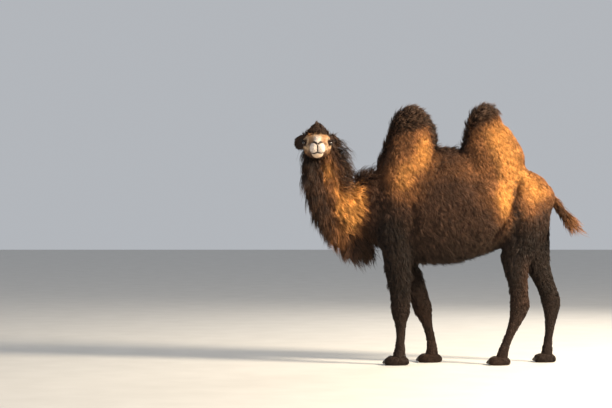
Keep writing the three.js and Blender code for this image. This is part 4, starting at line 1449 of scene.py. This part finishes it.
# %% Eyes
PUPIL_WIDE, PUPIL_HIGH, IRIS = 34.0, 20.0, 56.0  # half-angles in degrees
PUPIL_BLACK = np.array([0.002, 0.002, 0.003])
IRIS_BROWN = np.array([0.030, 0.013, 0.006])
RIM_BROWN = np.array([0.020, 0.012, 0.009])
CORNEA_RISE, CORNEA_ANGLE = 0.07, 30.0


def eyeball(flank, mirror):
    """The ball of an eye. Its radius is raised by the share rise * exp(-(angle / cornea)^2)."""
    ball, triangles = ellipsoid(np.zeros(3), np.ones(3), 64, 48)
    gaze, front, up = eye_axes(mirror)
    angle = np.degrees(np.arccos(np.clip(ball @ gaze, -1, 1)))
    wide = np.degrees(np.arcsin(np.clip(ball @ front, -1, 1)))
    high = np.degrees(np.arcsin(np.clip(ball @ up, -1, 1)))
    pupil = smoothstep(1.15, 0.9, np.hypot(wide / PUPIL_WIDE, high / PUPIL_HIGH)) * (angle < 90)
    iris = smoothstep(IRIS + 3, IRIS - 3, angle)
    colours = mixed(np.tile(RIM_BROWN, (len(ball), 1)), IRIS_BROWN, iris)
    colours = mixed(colours, PUPIL_BLACK, pupil)
    radius = (EYE_RADIUS - 0.6) * (1 + CORNEA_RISE * np.exp(-((angle / CORNEA_ANGLE) ** 2)))
    points = EYE_AT * [1, mirror, 1] + ball * radius[:, None]
    eye = mesh_object(f"eyeball_{flank}", to_trunk(points), triangles)
    colour_attribute(eye, "coat_colour", colours)
    return eye


eyes = {"left": eyeball("left", 1), "right": eyeball("right", -1)}

# %% Lashes
# where a row starts and ends, in turns / pi, how many lashes it has, their length and their rise
LASHES = [(0.10, 0.90, 84, 27.0, 0.02), (1.15, 1.85, 40, 12.0, -0.15)]
LASH_WIDTH = 1.1
LASH_ROOT = 3.4  # how far outside the ball the lashes are rooted


def lashes(flank, mirror):
    """Both rows of lashes of one eye, which stand out from the lids' edges and bow downwards."""
    shells = []
    for start, stop, count, length, rise in LASHES:
        turn = np.pi * np.linspace(start, stop, count) + rng.normal(0, 0.02, count)
        edge = opening(turn) + rng.uniform(0.02, 0.14, count)
        at = eye_point(mirror, np.full(count, EYE_RADIUS + LASH_ROOT), edge, turn)
        away = unit(at - EYE_AT * [1, mirror, 1])
        gaze, _, up = eye_axes(mirror)
        lie = unit(away + 0.55 * gaze + rise * up + rng.normal(0, 0.08, (count, 3)))
        normal = unit(np.cross(lie, np.cross(up, lie)) + 1e-6)
        at, lie, normal = to_trunk(at), to_trunk(lie) - HEAD_CENTRE, to_trunk(normal) - HEAD_CENTRE
        even = np.full(count, 1.0)
        hair = {
            "lie": lie, "length": length * even, "width": LASH_WIDTH * even, "lift": 0.12 * even,
            "droop": 0.5 * even, "wave": 0.0 * even, "clump": 0.15 * even, "coat": 8 * even,
        }
        points, triangles, _ = tufts(at, normal, hair, np.arange(count) // 3 * 3, 4)
        shells.append((points, triangles))
    return mesh_object(f"lashes_{flank}", *joined(*shells))


eye_lashes = [lashes("left", 1), lashes("right", -1)]

# %% Nails
NAIL_IN, NAIL_UP = 6, 5  # how far the nail is set back into the toe and up from its node
NAIL = [  # share of the nail's length from its root, height over its tip, half width, up, down
    [-0.9, 20, 9, 9, 9],
    [-0.3, 19, 14, 14, 13],
    [0.25, 14, 15, 13, 12],
    [0.7, 6, 13, 10, 7],
    [1.0, 0, 8, 4, 3],
]


def nail(node):
    """A nail in the place of a CAD node: a loft from inside the toe out to the node's front."""
    low, high = (np.array(corner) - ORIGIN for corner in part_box(node))
    low, high = low * 1000, high * 1000
    back = high[0] + NAIL_IN
    rows = [
        [back - share * (back - low[0]), (low[1] + high[1]) / 2, low[2] + NAIL_UP + z, w, u, d]
        for share, z, w, u, d in NAIL
    ]
    points, triangles = loft(rows, [0, -1, 0], 36, 36, (2.4, 2.0))
    return mesh_object(f"{node}_shell", points, triangles)


nails = {node: nail(node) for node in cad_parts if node.startswith("nail")}
print("eyes, lashes and nails", len(eyes), len(eye_lashes), len(nails))

# %% [markdown]
# ## Materials
#
# All hair shares one way of colouring: the coat's colour at the root, the tuft's own tone, dark
# near the skin with painted shade of the coat's depth, bleached at the tip, and slow drifts of
# noise over the body, like sun and dust leave. Wool is rough, and its loose ends catch light at
# the edges, which sheen gives.

# %% Materials


def new_material(name, roughness, specular, sheen=0.0, coat=0.0):
    """A material with its constants set, its node tree and its Principled node."""
    material = bpy.data.materials.new(name)
    material.use_nodes = True
    shader = material.node_tree.nodes["Principled BSDF"]
    shader.inputs["Roughness"].default_value = roughness
    shader.inputs["Specular IOR Level"].default_value = specular
    shader.inputs["Sheen Weight"].default_value = sheen
    shader.inputs["Sheen Roughness"].default_value = 0.45
    shader.inputs["Sheen Tint"].default_value = (1.0, 0.72, 0.42, 1.0)
    shader.inputs["Coat Weight"].default_value = coat
    return material, material.node_tree, shader


def attribute(tree, name):
    """A node that reads an attribute of the mesh."""
    node = tree.nodes.new("ShaderNodeAttribute")
    node.attribute_name = name
    return node


def noise(tree, scale, detail=3.0, stretch=(1.0, 1.0, 1.0)):
    """Noise over the object's own coordinates, in metres, stretched along its axes."""
    place = tree.nodes.new("ShaderNodeTexCoord")
    mapping = tree.nodes.new("ShaderNodeMapping")
    mapping.inputs["Scale"].default_value = stretch
    texture = tree.nodes.new("ShaderNodeTexNoise")
    texture.inputs["Scale"].default_value = scale
    texture.inputs["Detail"].default_value = detail
    tree.links.new(place.outputs["Object"], mapping.inputs["Vector"])
    tree.links.new(mapping.outputs["Vector"], texture.inputs["Vector"])
    return texture.outputs["Fac"]


def from_to(tree, value, low, high, to_low, to_high):
    """A number mapped from one range to another, and held at its ends."""
    node = tree.nodes.new("ShaderNodeMapRange")
    for socket, number in zip(node.inputs[1:5], (low, high, to_low, to_high)):
        socket.default_value = number
    tree.links.new(value, node.inputs[0])
    return node.outputs[0]


NOISE_LOW, NOISE_HIGH = 0.3, 0.7  # nearly all of the noise lies between these


def drift(tree, fac, low, high):
    """A number that follows noise from low to high."""
    return from_to(tree, fac, NOISE_LOW, NOISE_HIGH, low, high)


def scaled(tree, colour, *factors):
    """A colour times one or more numbers."""
    for factor in factors:
        node = tree.nodes.new("ShaderNodeVectorMath")
        node.operation = "SCALE"
        tree.links.new(colour, node.inputs[0])
        tree.links.new(factor, node.inputs["Scale"])
        colour = node.outputs[0]
    return colour


def blended(tree, share, first, second):
    """first where the share is 0, second where it is 1; a colour may be a socket or a tuple."""
    node = tree.nodes.new("ShaderNodeMix")
    node.data_type = "RGBA"
    tree.links.new(share, node.inputs["Factor"])
    for socket, colour in ((node.inputs[6], first), (node.inputs[7], second)):
        if isinstance(colour, tuple):
            socket.default_value = (*colour, 1.0)
        else:
            tree.links.new(colour, socket)
    return node.outputs[2]


def bumped(tree, shader, height, distance, strength):
    """A bump of this depth in metres on a shader."""
    bump = tree.nodes.new("ShaderNodeBump")
    bump.inputs["Distance"].default_value = distance
    bump.inputs["Strength"].default_value = strength
    tree.links.new(height, bump.inputs["Height"])
    tree.links.new(bump.outputs["Normal"], shader.inputs["Normal"])


TIP_COLOUR = (0.34, 0.155, 0.062)


def hair_material(name, roughness, sheen, root_shade, tip_share):
    """Hair: dark at the root, with painted shade of the coat's depth, reddish at the tip, with slow and
    fine drifts of tone.
    """
    material, tree, shader = new_material(name, roughness, 0.20, sheen)
    strand = attribute(tree, "strand").outputs["Fac"]
    colour = scaled(
        tree,
        attribute(tree, "coat_colour").outputs["Color"],
        attribute(tree, "tone").outputs["Fac"],
        from_to(tree, strand, 0.0, 0.75, root_shade, 1.08),
        drift(tree, noise(tree, 7.0), 0.72, 1.30),
        drift(tree, noise(tree, 34.0), 0.80, 1.22),
    )
    tip = from_to(tree, strand, 0.55, 1.0, 0.0, tip_share)
    tree.links.new(blended(tree, tip, colour, TIP_COLOUR), shader.inputs["Base Color"])
    return material


def skin_material():
    """The plush of the face and shins and the skin under the wool: the coat's colour with a fine
    grain along the hair, and a bump of the same grain."""
    material, tree, shader = new_material("short_plush", 0.72, 0.20, 0.03)
    grain = noise(tree, 420.0, 2.0, (1.0, 1.0, 0.3))
    colour = scaled(
        tree,
        attribute(tree, "coat_colour").outputs["Color"],
        drift(tree, noise(tree, 9.0), 0.78, 1.18),
        drift(tree, noise(tree, 60.0), 0.86, 1.12),
        drift(tree, grain, 0.78, 1.18),
    )
    tree.links.new(colour, shader.inputs["Base Color"])
    bumped(tree, shader, grain, 0.0012, 0.7)
    return material


def nail_material():
    """Horn: dark grey-brown, worn paler in streaks that run down to the tip."""
    material, tree, shader = new_material("horn", 0.42, 0.45)
    streaks = noise(tree, 120.0, 3.0, (0.25, 1.6, 0.6))
    share = from_to(tree, streaks, 0.35, 0.7, 0.0, 1.0)
    dark, pale = (0.022, 0.016, 0.013), (0.095, 0.070, 0.052)
    tree.links.new(blended(tree, share, dark, pale), shader.inputs["Base Color"])
    bumped(tree, shader, streaks, 0.0006, 0.6)
    return material


def eye_material():
    """Wet and glossy, with fine drifts of tone over its colours."""
    material, tree, shader = new_material("eye_gloss", 0.08, 0.5, coat=0.5)
    shader.inputs["Coat Roughness"].default_value = 0.03
    colour = scaled(
        tree,
        attribute(tree, "coat_colour").outputs["Color"],
        drift(tree, noise(tree, 300.0), 0.7, 1.5),
    )
    tree.links.new(colour, shader.inputs["Base Color"])
    return material


def lash_material():
    """Stiff black-brown hair with a soft shine."""
    material, tree, shader = new_material("lash", 0.45, 0.4)
    share = drift(tree, noise(tree, 200.0), 0.0, 1.0)
    tree.links.new(blended(tree, share, (0.006, 0.004, 0.004), (0.016, 0.011, 0.009)),
                   shader.inputs["Base Color"])
    return material


wool = hair_material("wool", 0.80, 0.03, 0.80, 0.0)
long_hair = hair_material("long_hair", 0.60, 0.02, 0.50, 0.14)
leg_hair = hair_material("leg_hair", 0.68, 0.02, 0.70, 0.03)
face_hair = hair_material("face_hair", 0.72, 0.03, 0.88, 0.0)
LONG = ("beard", "crest_hair", "hump_tuft_hair", "topknot_hair", "tail_tuft_hair", "coat_neck")

# %% Put materials and slots on the pieces
def dress(obj, material):
    """Gives a piece its material and slot, and lets it ride on the animal's one body."""
    obj.data.materials.clear()
    obj.data.materials.append(material)
    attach(obj, "root")


bpy.context.view_layer.update()
dress(skin, skin_material())
for name, obj in coats.items():
    if name.startswith(LONG):
        dress(obj, long_hair)
    elif "leg" in name:
        dress(obj, leg_hair)
    elif name.startswith("coat_head"):
        dress(obj, face_hair)
    else:
        dress(obj, wool)
gloss, lash, horn = eye_material(), lash_material(), nail_material()
for flank, eye in eyes.items():
    dress(eye, gloss)
    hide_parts(f"eye_{flank}")
for piece in eye_lashes:
    dress(piece, lash)
for node, piece in nails.items():
    dress(piece, horn)
    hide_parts(node)
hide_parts(*[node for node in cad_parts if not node.startswith(("eye", "nail"))])

# %% [markdown]
# ## Camera, light and floor
#
# A long lens, level with the animal's flank and to the left of it, keeps its outline free of
# perspective. One broad warm key stands high on the right, a little towards the camera, so that
# the humps, paunch and rump are lit from behind their highest points. A pale world fills in.

# %% Camera
CAMERA_AT = np.array([-1.096, -16.0, 1.324])
FRAME_WIDTH = 5.08  # metres across the view at the animal's middle plane


def look(obj, direction):
    """Turns an object so that its -Z axis points along the direction."""
    obj.rotation_euler = Vector(direction).to_track_quat("-Z", "Y").to_euler()


camera = bpy.data.objects.new("camera", bpy.data.cameras.new("camera"))
camera.data.sensor_width = 36.0
camera.data.lens = 36.0 * abs(CAMERA_AT[1]) / FRAME_WIDTH
camera.location = CAMERA_AT + ORIGIN
look(camera, (0, 1, 0))
bpy.context.scene.collection.objects.link(camera)
bpy.context.scene.camera = camera

# %% Lights and world
# name: place, target, size in metres, power in watts, colour
LAMPS = {
    "key": ((6.0, -3.2, 4.6), (0.0, 0.0, 1.2), 1.8, 1900.0, (1.0, 0.84, 0.62)),
    "front": ((-3.5, -8.0, 4.0), (-0.4, 0.0, 1.3), 4.0, 110.0, (1.0, 0.95, 0.88)),
    "rim": ((3.0, 6.0, 5.0), (0.0, 0.0, 1.4), 3.0, 300.0, (1.0, 0.90, 0.76)),
}
for name, (place, target, size, power, colour) in LAMPS.items():
    lamp = bpy.data.objects.new(name, bpy.data.lights.new(name, "AREA"))
    lamp.data.size, lamp.data.energy, lamp.data.color = size, power, colour
    lamp.location = np.array(place) + ORIGIN
    look(lamp, np.array(target) - place)
    bpy.context.scene.collection.objects.link(lamp)
world = bpy.data.worlds.new("studio")
world.use_nodes = True
background = world.node_tree.nodes["Background"]
background.inputs["Color"].default_value = (0.90, 0.94, 1.0, 1.0)
background.inputs["Strength"].default_value = 0.50
bpy.context.scene.world = world
bpy.context.scene.view_settings.view_transform = "Standard"

# %% Floor
bpy.ops.mesh.primitive_plane_add(size=80.0)
floor = bpy.context.object
floor.name = "floor"
paper, tree, shader = new_material("floor_paper", 0.9, 0.2)
share = drift(tree, noise(tree, 3.0), 0.0, 1.0)
tree.links.new(blended(tree, share, (0.56, 0.55, 0.53), (0.60, 0.59, 0.57)), shader.inputs["Base Color"])
floor.data.materials.append(paper)
